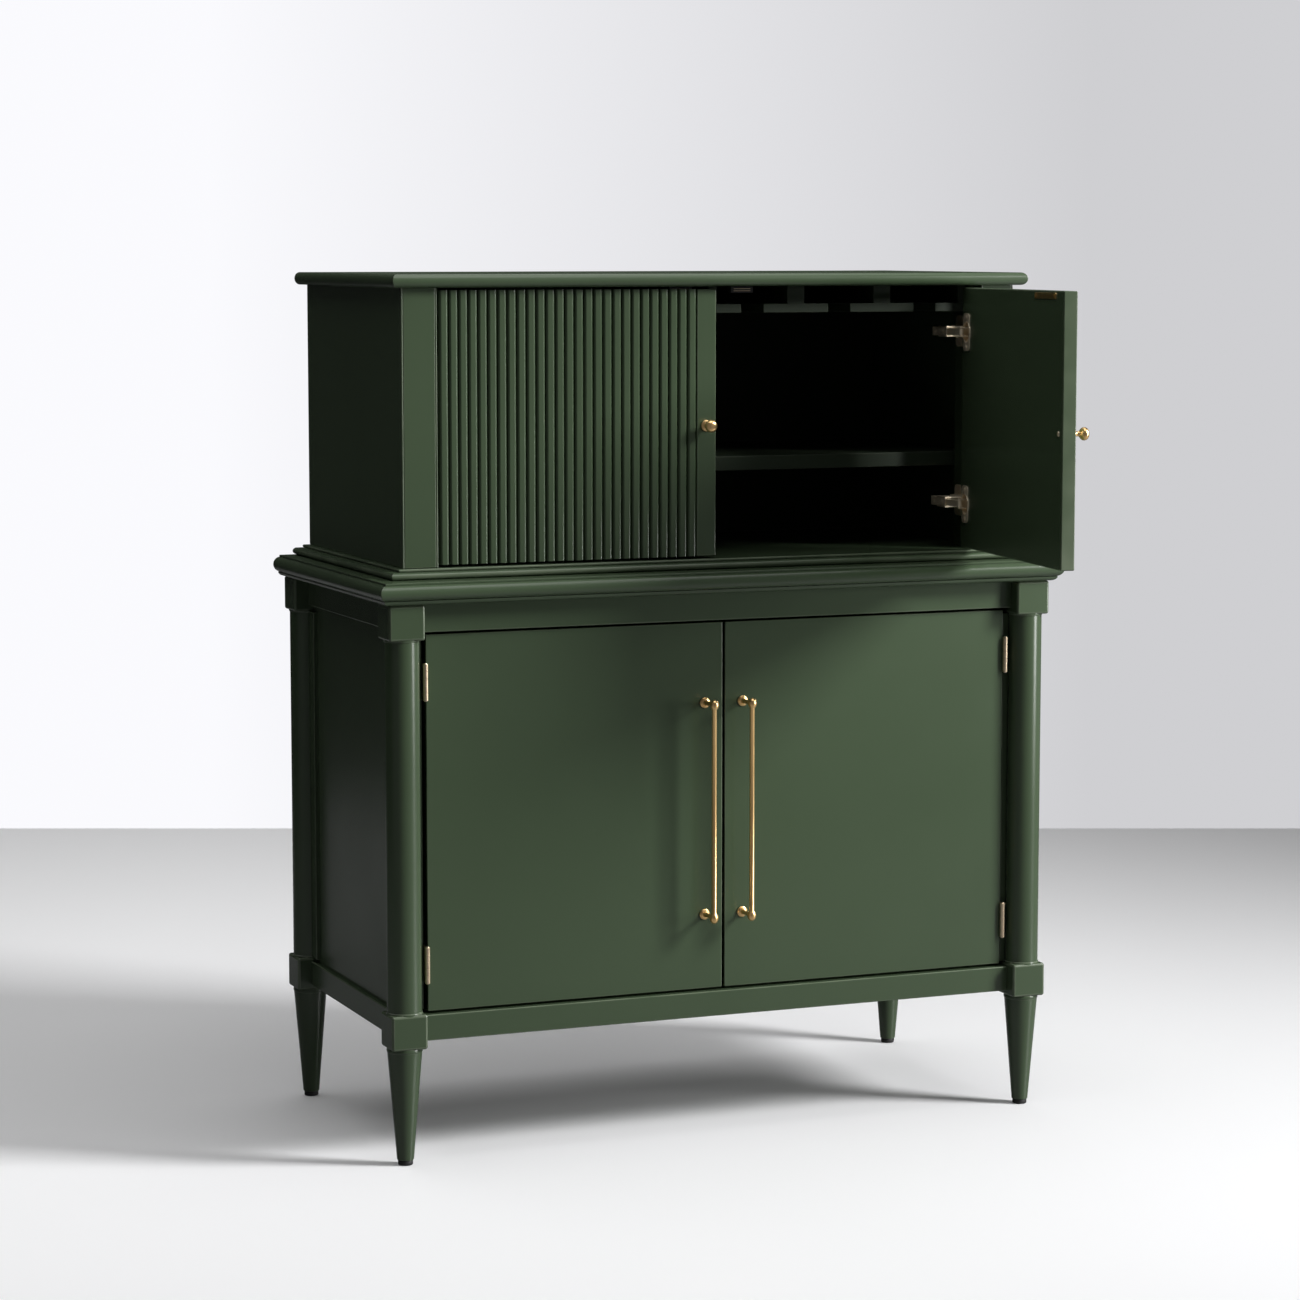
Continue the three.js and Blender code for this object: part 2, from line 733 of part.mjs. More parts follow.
function makeCup(sign) {
  const centreX = -sign * (upperDoorEdge + cupInset);
  const floor = doorThickness - cupDepth;
  const flangeFront = doorThickness + jointGap;
  const flangeBack = flangeFront + flangeThickness;
  const shell = turnedBack([
    [0, floor],
    [cupRadius, floor],
    [cupRadius, flangeBack],
    [0, flangeBack],
  ], cupSides).translate(centreX, 0, 0);
  const hollow = turnedBack([
    [0, floor + cupWall],
    [cupRadius - cupWall, floor + cupWall],
    [cupRadius - cupWall, flangeBack + overrun],
    [0, flangeBack + overrun],
  ], cupSides).translate(centreX, 0, 0);
  const flange = easedBoard(
    [centreX - flangeWidth / 2, centreX + flangeWidth / 2],
    [flangeFront, flangeBack],
    [-flangeHeight / 2, flangeHeight / 2],
    flangeEase,
  );
  const pinX = -sign * linkPinX;
  const lugInner = linkHalfHeight + slideGap;
  const lugs = [-1, 1].map((up) => block(
    [pinX - lugWidth / 2, pinX + lugWidth / 2],
    [floor + cupWall / 2, linkPinY + lugRise],
    up > 0 ? [lugInner, lugInner + lugThickness] : [-lugInner - lugThickness, -lugInner],
  ));
  const pin = turned([
    [0, -lugInner - lugThickness],
    [linkPinRadius, -lugInner - lugThickness],
    [linkPinRadius, lugInner + lugThickness],
    [0, lugInner + lugThickness],
  ], smallSides).translate(pinX, linkPinY, 0);
  return joined([cut(joined([shell, flange]), [hollow]), ...lugs, pin]);
}

function makeLink() {
  const half = linkWidth / 2;
  const outline = new THREE.Shape();
  outline.moveTo(half, 0);
  outline.lineTo(half, linkLength - half);
  outline.lineTo(half / 2, linkLength);
  outline.lineTo(-half / 2, linkLength);
  outline.lineTo(-half, linkLength - half);
  outline.lineTo(-half, 0);
  outline.absarc(0, 0, half, halfTurn, 2 * halfTurn, false);
  const eye = new THREE.Path();
  eye.absarc(0, 0, linkPinRadius + jointGap, 0, 2 * halfTurn, true);
  outline.holes.push(eye);
  return new THREE.ExtrudeGeometry(outline, {
    depth: 2 * linkHalfHeight,
    bevelEnabled: false,
    curveSegments: smallSides / 2,
  }).translate(0, 0, -linkHalfHeight);
}

// The arm is one section run along the return: channel, riser and mounting plate.
function makeArm(sign) {
  const wall = upperDoorGap / 2 - jointGap;
  const channel = linkHalfHeight + slideGap;
  const outerChannel = channel + armWall;
  const upperHalfSection = [
    [-armMouth, channel],
    [-armMouth, outerChannel],
    [-armBack + armWall, outerChannel],
    [-armBack + armWall, riserHalfHeight],
    [wall - plateThickness, riserHalfHeight],
    [wall - plateThickness, plateHalfHeight],
    [wall, plateHalfHeight],
  ];
  const lowerHalfSection = upperHalfSection.map(([x, z]) => [x, -z]).reverse();
  return runBack([
    ...upperHalfSection,
    ...lowerHalfSection,
    [-armBack, -channel],
    [-armBack, channel],
  ].map(([x, z]) => [sign * x, z]), [armFront, armFront + armLength]);
}

// Knob: a rosette, a waisted neck and a domed head, turned in one
const knobDrop = 4.25; // below the middle of the door
const knobRosette = [9, 2.6];
const knobNeckRadius = 3.8;
const knobNeckEnd = 11;
const knobHeadRadius = 10;
const knobReach = 25;
const knobRimShare = 0.45; // where the head is widest, as a share of its depth
const knobSteps = 6;

function makeKnob() {
  const [rosette, rosetteDepth] = knobRosette;
  const headDepth = knobReach - knobNeckEnd;
  const rim = knobNeckEnd + headDepth * knobRimShare;
  const headBack = arc([0, 0], 1, -quarterTurn, 0, knobSteps).map(([out, up]) => [
    knobNeckRadius + (knobHeadRadius - knobNeckRadius) * out,
    rim + (rim - knobNeckEnd) * up,
  ]);
  const headFront = arc([0, 0], 1, 0, quarterTurn, knobSteps).slice(1).map(([out, up]) => [
    knobHeadRadius * out,
    rim + (knobReach - rim) * up,
  ]);
  headFront[knobSteps - 1][0] = 0;
  return turnedForward([
    [0, jointGap],
    [rosette, jointGap],
    [rosette, rosetteDepth / 2],
    [rosette - rosetteDepth / 2, rosetteDepth],
    [knobNeckRadius, rosetteDepth],
    ...headBack,
    ...headFront,
  ], cupSides);
}

for (const [side, sign] of sides) {
  const opening = sign > 0 ? radians(rightDoorOpening) : 0;
  const hingeLevels = [
    ['bottom', upperDoorLevels[0] + upperHingeInset],
    ['top', upperDoorLevels[1] - upperHingeInset],
  ];
  const pivot = new THREE.Group();
  pivot.position.set(sign * (midGapX - pivotInset), upperFront - pivotProud, 0);
  pivot.rotation.z = sign * opening;
  const door = new THREE.Group();
  door.position.set(sign * pivotInset, pivotProud, 0);
  pivot.add(door);
  cabinet.add(pivot);
  const heights = hingeLevels.map(([, z]) => z);
  piece(door, `upper_door_${side}`, makeUpperDoor(sign, heights), 'lacquer');
  const knobX = -sign * (upperDoorEdge + upperDoorWidth - lockStileWidth / 2);
  const knobHeight = (upperDoorLevels[0] + upperDoorLevels[1]) / 2 - knobDrop;
  piece(door, `knob_${side}`, makeKnob(), 'brass').position.set(knobX, 0, knobHeight);
  cabinet.updateMatrixWorld(true);
  const pinPlace = door.localToWorld(new THREE.Vector3(-sign * linkPinX, linkPinY, 0));
  for (const [level, z] of hingeLevels) {
    piece(door, `hinge_cup_${level}_${side}`, makeCup(sign), 'bronze').position.z = z;
    const link = piece(cabinet, `hinge_link_${level}_${side}`, makeLink(), 'bronze');
    link.position.copy(pinPlace).setZ(z);
    const arm = piece(cabinet, `hinge_arm_${level}_${side}`, makeArm(sign), 'bronze');
    arm.position.set(sign * midGapX, upperFront, z);
  }
}

// The origin lies on the floor, in the middle of the whole cabinet's box with its right door open
cabinet.updateMatrixWorld(true);
const wholeBox = new THREE.Box3().setFromObject(cabinet, true);
cabinet.position.y = -(wholeBox.min.y + wholeBox.max.y) / 2;

export default cabinet;
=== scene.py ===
from math import cos, pi, radians, sin

import bmesh
import bpy
from mathutils import Matrix, Vector


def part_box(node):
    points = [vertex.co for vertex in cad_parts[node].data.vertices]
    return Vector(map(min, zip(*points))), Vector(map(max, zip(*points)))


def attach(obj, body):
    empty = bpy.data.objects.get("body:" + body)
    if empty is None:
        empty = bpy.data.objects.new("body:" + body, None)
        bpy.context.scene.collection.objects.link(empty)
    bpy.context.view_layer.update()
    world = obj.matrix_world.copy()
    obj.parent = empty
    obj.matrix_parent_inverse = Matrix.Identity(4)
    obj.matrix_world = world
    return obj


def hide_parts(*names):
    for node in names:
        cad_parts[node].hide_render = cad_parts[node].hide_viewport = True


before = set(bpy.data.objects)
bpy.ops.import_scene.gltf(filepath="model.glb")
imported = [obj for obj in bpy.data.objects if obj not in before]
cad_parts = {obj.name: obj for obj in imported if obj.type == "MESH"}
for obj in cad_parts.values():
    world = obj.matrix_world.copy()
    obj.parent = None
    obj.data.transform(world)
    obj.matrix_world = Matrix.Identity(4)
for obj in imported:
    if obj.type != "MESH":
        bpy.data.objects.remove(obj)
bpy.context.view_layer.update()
bpy.ops.object.select_all(action="DESELECT")


# Corner posts: leg, square block, round column and square block are turned from one length of
# hardwood, with eased arrises and a thin collar at each end of the column, and painted satin
# green as nearly all of the cabinet is. The four posts carry the rails between their blocks.
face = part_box("post_front_left")[0].y
post_half = 0.0285
post_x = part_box("post_front_right")[1].x - post_half
post_y = face + post_half
leg_top = 0.182
lower_block_top = 0.2355
upper_block_bottom = 0.805
base_top = 0.8585
column_radius = 0.0267
post_ease = 0.0040
collar_reach = 0.0013
collar = column_radius + collar_reach
collar_neck = column_radius + collar_reach * 0.7


def finish_named(name):
    finish = bpy.data.materials.new(name)
    finish.use_nodes = True
    return finish, finish.node_tree.nodes["Principled BSDF"]


def add_node(owner, kind, inputs=(), **settings):
    """Adds a shader node to a finish, or to the world, with its inputs and its settings."""
    node = owner.node_tree.nodes.new(f"ShaderNode{kind}")
    for setting, value in settings.items():
        setattr(node, setting, value)
    for socket, value in dict(inputs).items():
        node.inputs[socket].default_value = value
    return node


def join_nodes(owner, *joints):
    """Joins nodes, each joint as (start, node, its inlet). The start is an outlet, or a node
    that gives its first one."""
    for start, node, inlet in joints:
        outlet = start if isinstance(start, bpy.types.NodeSocket) else start.outputs[0]
        owner.node_tree.links.new(outlet, node.inputs[inlet])


def colour(value, share=1.0):
    """A colour as a shader takes it, at a share of its strength."""
    return (*(part * share for part in value), 1)


def green_lacquer(name, along, share=1.0, sheen=(0.20, 0.28), gloss=0.45):
    """Makes the cabinet's satin paint, sprayed over sanded wood, for a board whose grain runs
    along one axis, 0, 1 or 2. Its tint drifts a little, its skin has a fine orange peel and
    the grain just shows. Where the face attribute `arris` is above 0 the colour is lightened
    towards a pale green, partly as wear on the arrises and partly as a painted highlight where
    light catches them. Where it is below 0 the colour is darkened nearly to black, as painted
    shade in grooves and gaps. A coat can have a share of the full colour, its own range of
    roughness and its own specular level."""
    paint, shader = finish_named(name)
    shader.inputs["Specular IOR Level"].default_value = gloss
    place = add_node(paint, "TexCoord").outputs["Object"]
    grain_scale = [180.0, 180.0, 180.0]
    grain_scale[along] = 5.0
    drift = add_node(paint, "TexNoise", {"Scale": 3.2, "Detail": 3.0})
    tint = add_node(paint, "MixRGB", {
        "Color1": colour((0.041, 0.063, 0.033), share),
        "Color2": colour((0.051, 0.077, 0.041), share),
    })
    # Faces marked above 0 are lightened towards a pale green: partly wear on the arrises, partly a
    # painted highlight where light catches them.
    rubbed_and_highlight = add_node(paint, "MixRGB", {"Color2": colour((0.170, 0.200, 0.140), share)})
    # Painted shade: faces marked below 0 are darkened towards near black, for the grooves and the
    # gaps round the doors.
    painted_shade = add_node(paint, "MixRGB", {"Color2": colour((0.006, 0.010, 0.005))})
    edge = add_node(paint, "Attribute", attribute_name="arris")
    patchy = add_node(paint, "MapRange", {
        "From Min": 0.35, "From Max": 0.60, "To Min": 0.12, "To Max": 0.38,
    })
    # The mask for that lightening, wear and painted highlight, broken up by a cloud.
    rubbed_and_highlight_mask = add_node(paint, "Math", operation="MULTIPLY", use_clamp=True)
    # The mask for the painted shade: the marks below 0, turned to a positive share.
    sunk = add_node(paint, "Math", {1: -0.85}, operation="MULTIPLY", use_clamp=True)
    cloud = add_node(paint, "TexNoise", {"Scale": 9.0, "Detail": 2.0})
    satin = add_node(paint, "MapRange", {"To Min": sheen[0], "To Max": sheen[1]})
    stretch = add_node(paint, "Mapping", {"Scale": grain_scale})
    grain = add_node(paint, "TexNoise", {"Scale": 1.0, "Detail": 4.0})
    peel = add_node(paint, "TexNoise", {"Scale": 190.0, "Detail": 1.0})
    skin = add_node(paint, "MixRGB", {"Fac": 0.45})
    relief = add_node(paint, "Bump", {"Strength": 0.3, "Distance": 0.00004})
    join_nodes(
        paint,
        (place, drift, "Vector"),
        (drift, tint, "Fac"),
        (cloud, patchy, "Value"),
        (edge.outputs["Fac"], rubbed_and_highlight_mask, 0),
        (patchy, rubbed_and_highlight_mask, 1),
        (rubbed_and_highlight_mask, rubbed_and_highlight, "Fac"),
        (tint, rubbed_and_highlight, "Color1"),
        (edge.outputs["Fac"], sunk, 0),
        (sunk, painted_shade, "Fac"),
        (rubbed_and_highlight, painted_shade, "Color1"),
        (painted_shade, shader, "Base Color"),
        (place, cloud, "Vector"),
        (cloud, satin, "Value"),
        (satin, shader, "Roughness"),
        (place, stretch, "Vector"),
        (stretch, grain, "Vector"),
        (place, peel, "Vector"),
        (grain, skin, "Color1"),
        (peel, skin, "Color2"),
        (skin, relief, "Height"),
        (relief, shader, "Normal"),
    )
    return paint


green_upright = green_lacquer("green_lacquer_upright", 2)


def alone(piece):
    """Selects one piece, for the operators to work on."""
    bpy.ops.object.select_all(action="DESELECT")
    piece.select_set(True)
    bpy.context.view_layer.objects.active = piece


def named(piece, name):
    piece.name = name
    piece.data.name = name
    return piece


def apply_modifier(piece, kind, **settings):
    modifier = piece.modifiers.new(kind, kind)
    for setting, value in settings.items():
        setattr(modifier, setting, value)
    alone(piece)
    bpy.ops.object.modifier_apply(modifier=modifier.name)


def board(name, low, high, ease, segments=3):
    """Adds a board between two corners, with its arrises rounded."""
    low, high = Vector(low), Vector(high)
    bpy.ops.object.select_all(action="DESELECT")
    bpy.ops.mesh.primitive_cube_add(size=1, location=(low + high) / 2)
    piece = bpy.context.object
    piece.scale = high - low
    bpy.ops.object.transform_apply()
    apply_modifier(piece, "BEVEL", width=ease, segments=segments)
    return named(piece, name)


def face_outwards():
    """Turns the faces of the piece being edited outwards, and ends the editing."""
    bpy.ops.mesh.select_all(action="SELECT")
    bpy.ops.mesh.normals_make_consistent(inside=False)
    bpy.ops.object.mode_set(mode="OBJECT")


def turned(name, place, profile, sides=64, along=(0, 0, 1)):
    """Draws a round piece out of a disc, with one extrusion and one resize for each
    (radius, distance) of its profile."""
    place, axis = Vector(place), Vector(along)
    radius, distance = profile[0]
    bpy.ops.object.select_all(action="DESELECT")
    bpy.ops.mesh.primitive_circle_add(
        vertices=sides, radius=radius, fill_type="NGON", location=place + axis * distance,
        rotation=Vector((0, 0, 1)).rotation_difference(axis).to_euler(),
    )
    bpy.ops.object.transform_apply()
    bpy.ops.object.mode_set(mode="EDIT")
    bpy.ops.mesh.select_all(action="SELECT")
    for next_radius, next_distance in profile[1:]:
        step = axis * (next_distance - distance)
        bpy.ops.mesh.extrude_region_move(TRANSFORM_OT_translate={"value": step})
        growth = next_radius / radius
        bpy.ops.transform.resize(
            value=(growth, growth, growth), center_override=place + axis * next_distance,
        )
        radius, distance = next_radius, next_distance
    face_outwards()
    return named(bpy.context.object, name)


def combined(piece, tool, operation):
    """Cuts the shape of a tool out of a piece, or glues it on, and clears the tool away."""
    apply_modifier(piece, "BOOLEAN", operation=operation, solver="EXACT", object=tool)
    bpy.data.objects.remove(tool)
    return piece


def gathered(piece, *others):
    """Makes one piece of several that stay closed bodies of their own."""
    bpy.ops.object.select_all(action="DESELECT")
    for other in (piece, *others):
        other.select_set(True)
    bpy.context.view_layer.objects.active = piece
    bpy.ops.object.join()
    return piece


def copied(piece, name, move=(0, 0, 0), mirrored=False):
    """Copies a piece with a mesh of its own, moved, or mirrored to the cabinet's other side."""
    twin = piece.copy()
    twin.data = piece.data.copy()
    bpy.context.scene.collection.objects.link(twin)
    alone(twin)
    twin.location = move
    if mirrored:
        twin.scale = (-1, 1, 1)
    bpy.ops.object.transform_apply()
    if mirrored:
        bpy.ops.object.mode_set(mode="EDIT")
        face_outwards()
    return named(twin, name)


def finished(piece, finish, slot, body, *nodes, crease=35, flats=True):
    """Smooths a piece, gives it its finish and its body, and lets it stand for its nodes."""
    alone(piece)
    bpy.ops.object.shade_smooth_by_angle(angle=radians(crease))
    if flats:
        apply_modifier(piece, "WEIGHTED_NORMAL", keep_sharp=True)
    piece.data.materials.clear()
    piece.data.materials.append(finish)
    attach(piece, body)
    if nodes:
        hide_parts(*nodes)
    return piece


def noted(piece, value, test):
    """Notes for the paint that the faces which pass a test are lightened, as wear with a painted
    highlight, above 0, or darkened, as painted shade, below 0.
    """
    mesh = piece.data
    notes = mesh.attributes.get("arris") or mesh.attributes.new("arris", "FLOAT", "FACE")
    for part in mesh.polygons:
        if test(part):
            notes.data[part.index].value = value
    return piece


def arris_of(mesh, widest=0.0013, square=0.9999):
    """A test for the narrow slanting faces that round off an arris."""
    def test(part):
        ends = [(mesh.vertices[a].co, mesh.vertices[b].co) for a, b in part.edge_keys]
        width = part.area / max((a - b).length for a, b in ends)
        return width < widest and max(abs(value) for value in part.normal) < square
    return test


def in_lacquer(piece, finish, *nodes, body="cabinet", crease=35):
    # Every narrow arris is marked above 0, to be lightened: partly wear, partly a painted highlight.
    if "arris" not in piece.data.attributes:
        noted(piece, 1, arris_of(piece.data))
    return finished(piece, finish, "lacquer", body, *nodes, crease=crease)


def post_block(name, bottom, top):
    """A square block of the right front post, between two heights."""
    return board(name, (post_x - post_half, face, bottom),
                 (post_x + post_half, face + 2 * post_half, top), post_ease, segments=5)


post = post_block("post", leg_top, lower_block_top)
upper_block = post_block("upper_block", upper_block_bottom, base_top)
leg = turned("leg", (post_x, post_y, 0), [
    (0.0112, 0.0080), (0.0125, 0.0083), (0.0130, 0.0092),
    (0.0266, leg_top - 0.0062), (0.0272, leg_top - 0.0054), (0.0276, leg_top - 0.0040),
    (0.0276, leg_top - 0.0020), (0.0270, leg_top - 0.0004), (0.0270, leg_top + post_ease),
])
column = turned("column", (post_x, post_y, 0), [
    (collar, lower_block_top - post_ease), (collar, lower_block_top + 0.0010),
    (collar_neck, lower_block_top + 0.0020), (column_radius, lower_block_top + 0.0026),
    (column_radius, upper_block_bottom - 0.0026), (collar_neck, upper_block_bottom - 0.0020),
    (collar, upper_block_bottom - 0.0010), (collar, upper_block_bottom + post_ease),
])
for length in (leg, column, upper_block):
    combined(post, length, "UNION")
back_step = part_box("post_back_right")[0].y - face
for place, across, deep in (("front_right", 0, 0), ("back_right", 0, back_step),
                            ("front_left", -2 * post_x, 0), ("back_left", -2 * post_x, back_step)):
    corner = copied(post, f"corner_post_{place}", (across, deep, 0))
    in_lacquer(corner, green_upright, f"post_{place}")
bpy.data.objects.remove(post)


# Glides: moulded discs of black nylon with a rounded foot edge. One is nailed under each leg
# and keeps the wood off the floor.
def parts_finish(name, tones, patch, dull, relief, metallic=0.0, brush=None, brushed_dull=False):
    """Makes a finish for small parts: mottled between two tones, with a range of roughness
    and a relief, as (strength, distance). Brush marks, at a scale for each axis, take over
    the relief, and the roughness too where asked."""
    finish, shader = finish_named(name)
    shader.inputs["Metallic"].default_value = metallic
    place = add_node(finish, "TexCoord").outputs["Object"]
    mottle = marks = add_node(finish, "TexNoise", patch)
    if brush:
        stretch = add_node(finish, "Mapping", {"Scale": brush})
        marks = add_node(finish, "TexNoise", {"Scale": 1.0, "Detail": 2.0})
        join_nodes(
            finish,
            (place, stretch, "Vector"),
            (stretch, marks, "Vector"),
        )
    tone = add_node(finish, "MixRGB", {
        "Color1": colour(tones[0]), "Color2": colour(tones[1]),
    })
    rub = add_node(finish, "MapRange", {"To Min": dull[0], "To Max": dull[1]})
    bump = add_node(finish, "Bump", {"Strength": relief[0], "Distance": relief[1]})
    join_nodes(
        finish,
        (place, mottle, "Vector"),
        (mottle, tone, "Fac"),
        (tone, shader, "Base Color"),
        (marks if brushed_dull else mottle, rub, "Value"),
        (rub, shader, "Roughness"),
        (marks, bump, "Height"),
        (bump, shader, "Normal"),
    )
    return finish


black_nylon = parts_finish(
    "black_nylon", tones=((0.006, 0.006, 0.006), (0.016, 0.016, 0.015)),
    patch={"Scale": 900.0, "Detail": 2.0}, dull=(0.45, 0.75), relief=(0.4, 0.0001),
)
glide = turned("glide", (post_x, post_y, 0), [
    (0.0090, 0.0), (0.0103, 0.0003), (0.0112, 0.0010), (0.0115, 0.0020), (0.0115, 0.0068),
    (0.0112, 0.0074), (0.0106, 0.0077),
], sides=40)
for end, depth in (("front", 0), ("back", back_step)):
    for side, shift in (("left", -2 * post_x), ("right", 0)):
        disc = copied(glide, f"foot_glide_{end}_{side}", (shift, depth, 0))
        finished(disc, black_nylon, "glide", "cabinet", f"glide_{end}_{side}", flats=False)
bpy.data.objects.remove(glide)


# Rails: sawn boards tenoned between the blocks, set back from the blocks' faces, with the
# arrises taken off. The bottom ones carry the deck, the top ones the waist board.
rail_ease = 0.0018
green_across = green_lacquer("green_lacquer_across", 0)
green_deep = green_lacquer("green_lacquer_deep", 1)
for level in ("bottom", "top"):
    for side, grain in (("front", green_across), ("left", green_deep), ("right", green_deep)):
        rail = f"{level}_rail_{side}"
        in_lacquer(board(f"{rail}_board", *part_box(rail), rail_ease), grain, rail)


# Side frames: a thin panel held between two stiles, which are scooped out to lie against the
# round columns. The front one reaches inwards as the stile that the lower door hangs on. A
# cleat carries the shelf, and a fillet closes the corner beside the back.
base_half = post_x + post_half
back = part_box("post_back_left")[1].y
panel_low, panel_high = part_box("side_frame_right")
panel_in, panel_out = base_half - 0.044, base_half - 0.030
panel_gap = 0.0573
stile_out = base_half - 0.024
stile_foot = lower_block_top + 0.0003
stile_head = upper_block_bottom - 0.0003
stile_start, stile_end = 0.036, 0.081
stile_ease = 0.0012
column_gap = 0.0003


def bored(piece, place, radius, depth, turn=(pi / 2, 0, 0), sides=48):
    """Bores a round hole in a piece, from front to back where it isn't turned."""
    bpy.ops.mesh.primitive_cylinder_add(
        vertices=sides, radius=radius, depth=depth, rotation=turn, location=place,
    )
    return combined(piece, bpy.context.object, "DIFFERENCE")


def scooped(name, low, high, column_y):
    """A stile between two corners in plan, hollowed round the column beside it."""
    stile = board(name, (*low, stile_foot), (*high, stile_head), stile_ease)
    return bored(stile, (post_x, column_y, 0.5), column_radius + column_gap, 2, (0, 0, 0), 64)


def pair_in_lacquer(piece, name):
    """Paints a right-hand piece, and its mirrored copy on the left."""
    left = copied(piece, f"{name}_left_boards", mirrored=True)
    in_lacquer(left, green_upright, f"{name}_left")
    in_lacquer(named(piece, f"{name}_right_boards"), green_upright, f"{name}_right")


side_panel = board("side_panel", (panel_in, face + panel_gap, panel_low.z),
                   (panel_out, back - panel_gap, panel_high.z), 0.0006)
outer_stile = scooped("outer_stile", (panel_in, face + stile_start),
                      (stile_out, face + stile_end), post_y)
door_stile = scooped("door_stile", (base_half - 0.063, face + 0.038),
                     (base_half - 0.043, face + 0.066), post_y)
rear_stile = scooped("rear_stile", (panel_in, back - stile_end),
                     (stile_out, back - stile_start), back - post_half)
cleat_foot, cleat_head = 0.5077, 0.5197
shelf_cleat = board("shelf_cleat", (base_half - 0.056, face + 0.080, cleat_foot),
                    (base_half - 0.0437, back - 0.071, cleat_head), 0.0008)
back_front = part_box("lower_back")[0].y
fillet_deep = 0.012
back_fillet = board("back_fillet", (base_half - 0.070, back_front - fillet_deep, stile_foot),
                    (base_half - 0.0535, back_front, stile_head), 0.0008)
right_frame = gathered(side_panel, outer_stile, door_stile, rear_stile, shelf_cleat, back_fillet)
pair_in_lacquer(right_frame, "side_frame")


# Deck, lower shelf and lower back: flat boards inside the lower case, notched round the
# posts, painted with the rest. The back is let in between the back posts.
def painted(node, finish):
    """Paints a board that stays as the CAD model has it."""
    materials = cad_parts[node].data.materials
    materials.clear()
    materials.append(finish)


painted("deck", green_across)
painted("lower_shelf", green_across)
painted("lower_back", green_upright)


# Waist board: the broad top of the lower case. A fat half-round nose runs round its front and
# sides, mitred at the corners, over a small ovolo and under a flat fillet.
def nosed(bottom, thickness, reach, steps, inset=0.0):
    """A half-round nose, as (inset, height) from its underside to its top."""
    turns = [-pi / 2 + pi * step / steps for step in range(steps + 1)]
    return [
        (inset + reach * (1 - cos(turn)), bottom + thickness / 2 * (1 + sin(turn)))
        for turn in turns
    ]


def moulded_board(name, half, front, profile, corner=0.0012):
    """Draws a board up from its underside, one extrusion and one resize for each step of its
    moulding, which runs round the front and both sides while the back stays flat."""
    inset, height = profile[0]
    width, depth = 2 * (half - inset), back - front - inset
    bpy.ops.object.select_all(action="DESELECT")
    bpy.ops.mesh.primitive_plane_add(size=1, location=(0, back - depth / 2, height))
    piece = bpy.context.object
    piece.scale = (width, depth, 1)
    bpy.ops.object.transform_apply()
    bpy.ops.object.mode_set(mode="EDIT")
    bpy.ops.mesh.select_mode(type="VERT")
    bpy.ops.mesh.select_all(action="DESELECT")
    mesh = bmesh.from_edit_mesh(piece.data)
    for point in mesh.verts:
        point.select_set(point.co.y < back - depth / 2)
    bmesh.update_edit_mesh(piece.data)
    bpy.ops.mesh.bevel(offset=corner, segments=3, affect="VERTICES")
    bpy.ops.mesh.select_mode(type="FACE")
    bpy.ops.mesh.select_all(action="SELECT")
    for next_inset, next_height in profile[1:]:
        step = (0, 0, next_height - height)
        bpy.ops.mesh.extrude_region_move(TRANSFORM_OT_translate={"value": step})
        next_width, next_depth = 2 * (half - next_inset), back - front - next_inset
        growth = (next_width / width, next_depth / depth, 1)
        bpy.ops.transform.resize(value=growth, center_override=(0, back, next_height))
        width, depth, height = next_width, next_depth, next_height
    face_outwards()
    return named(piece, name)


waist_low, waist_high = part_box("waist_board")
ovolo_foot, ovolo_half_tall = 0.8588, 0.0072
ovolo_inset, ovolo_reach = 0.018, 0.010
ovolo = [
    (ovolo_inset - ovolo_reach * cos(turn), ovolo_foot + ovolo_half_tall * (1 + sin(turn)))
    for turn in [-pi / 2 * (1 - step / 6) for step in range(7)]
]
waist = moulded_board("waist_moulding", waist_high.x, waist_low.y, [
    *ovolo,
    *nosed(0.866, 0.024, 0.012, 20),
    (0.0105, 0.8902), (0.0105, 0.8926), (0.0110, 0.8930),
])
in_lacquer(waist, green_across, "waist_board", crease=28)


# Upper plinth: the bottom board of the upper case. A torus and, set in above it, a small
# bead run round its foot.
plinth_low, plinth_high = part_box("upper_plinth")
plinth = moulded_board("upper_plinth_moulding", plinth_high.x, plinth_low.y, [
    *nosed(0.8933, 0.0107, 0.0065, 14),
    *nosed(0.9040, 0.0045, 0.0025, 10, inset=0.017),
])
in_lacquer(plinth, green_across, "upper_plinth", crease=28)


# Upper case: two plain sides behind two face stiles. Each stile has a small bead down both
# of its edges, and a return behind it that the hinges are screwed to.
for side in ("left", "right"):
    panel = board(f"upper_side_{side}_board", *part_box(f"upper_side_{side}"), 0.0008)
    in_lacquer(panel, green_upright, f"upper_side_{side}")
stile_low, stile_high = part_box("face_stile_right")
stile_bead = 0.0016
stile_thick = 0.024
return_wide, return_reach = 0.018, 0.090
upper_front = stile_low.y
stile_board = board("stile_board", (stile_low.x + 2 * stile_bead, upper_front, stile_low.z),
                    (stile_high.x - 2 * stile_bead, upper_front + stile_thick, stile_high.z),
                    stile_ease)
stile_core = board("stile_core", (stile_low.x + 0.0004, upper_front + 0.0022, stile_low.z),
                   (stile_high.x - 0.0002, upper_front + 0.0236, stile_high.z), 0.0003)
beads = [
    turned("bead", (x, upper_front + stile_bead, 0),
           [(stile_bead, stile_low.z), (stile_bead, stile_high.z)], sides=24)
    for x in (stile_low.x + stile_bead, stile_high.x - stile_bead)
]
stile_return = board("stile_return", (stile_low.x, upper_front + 0.0238, stile_low.z),
                     (stile_low.x + return_wide, upper_front + return_reach, stile_high.z),
                     stile_ease)
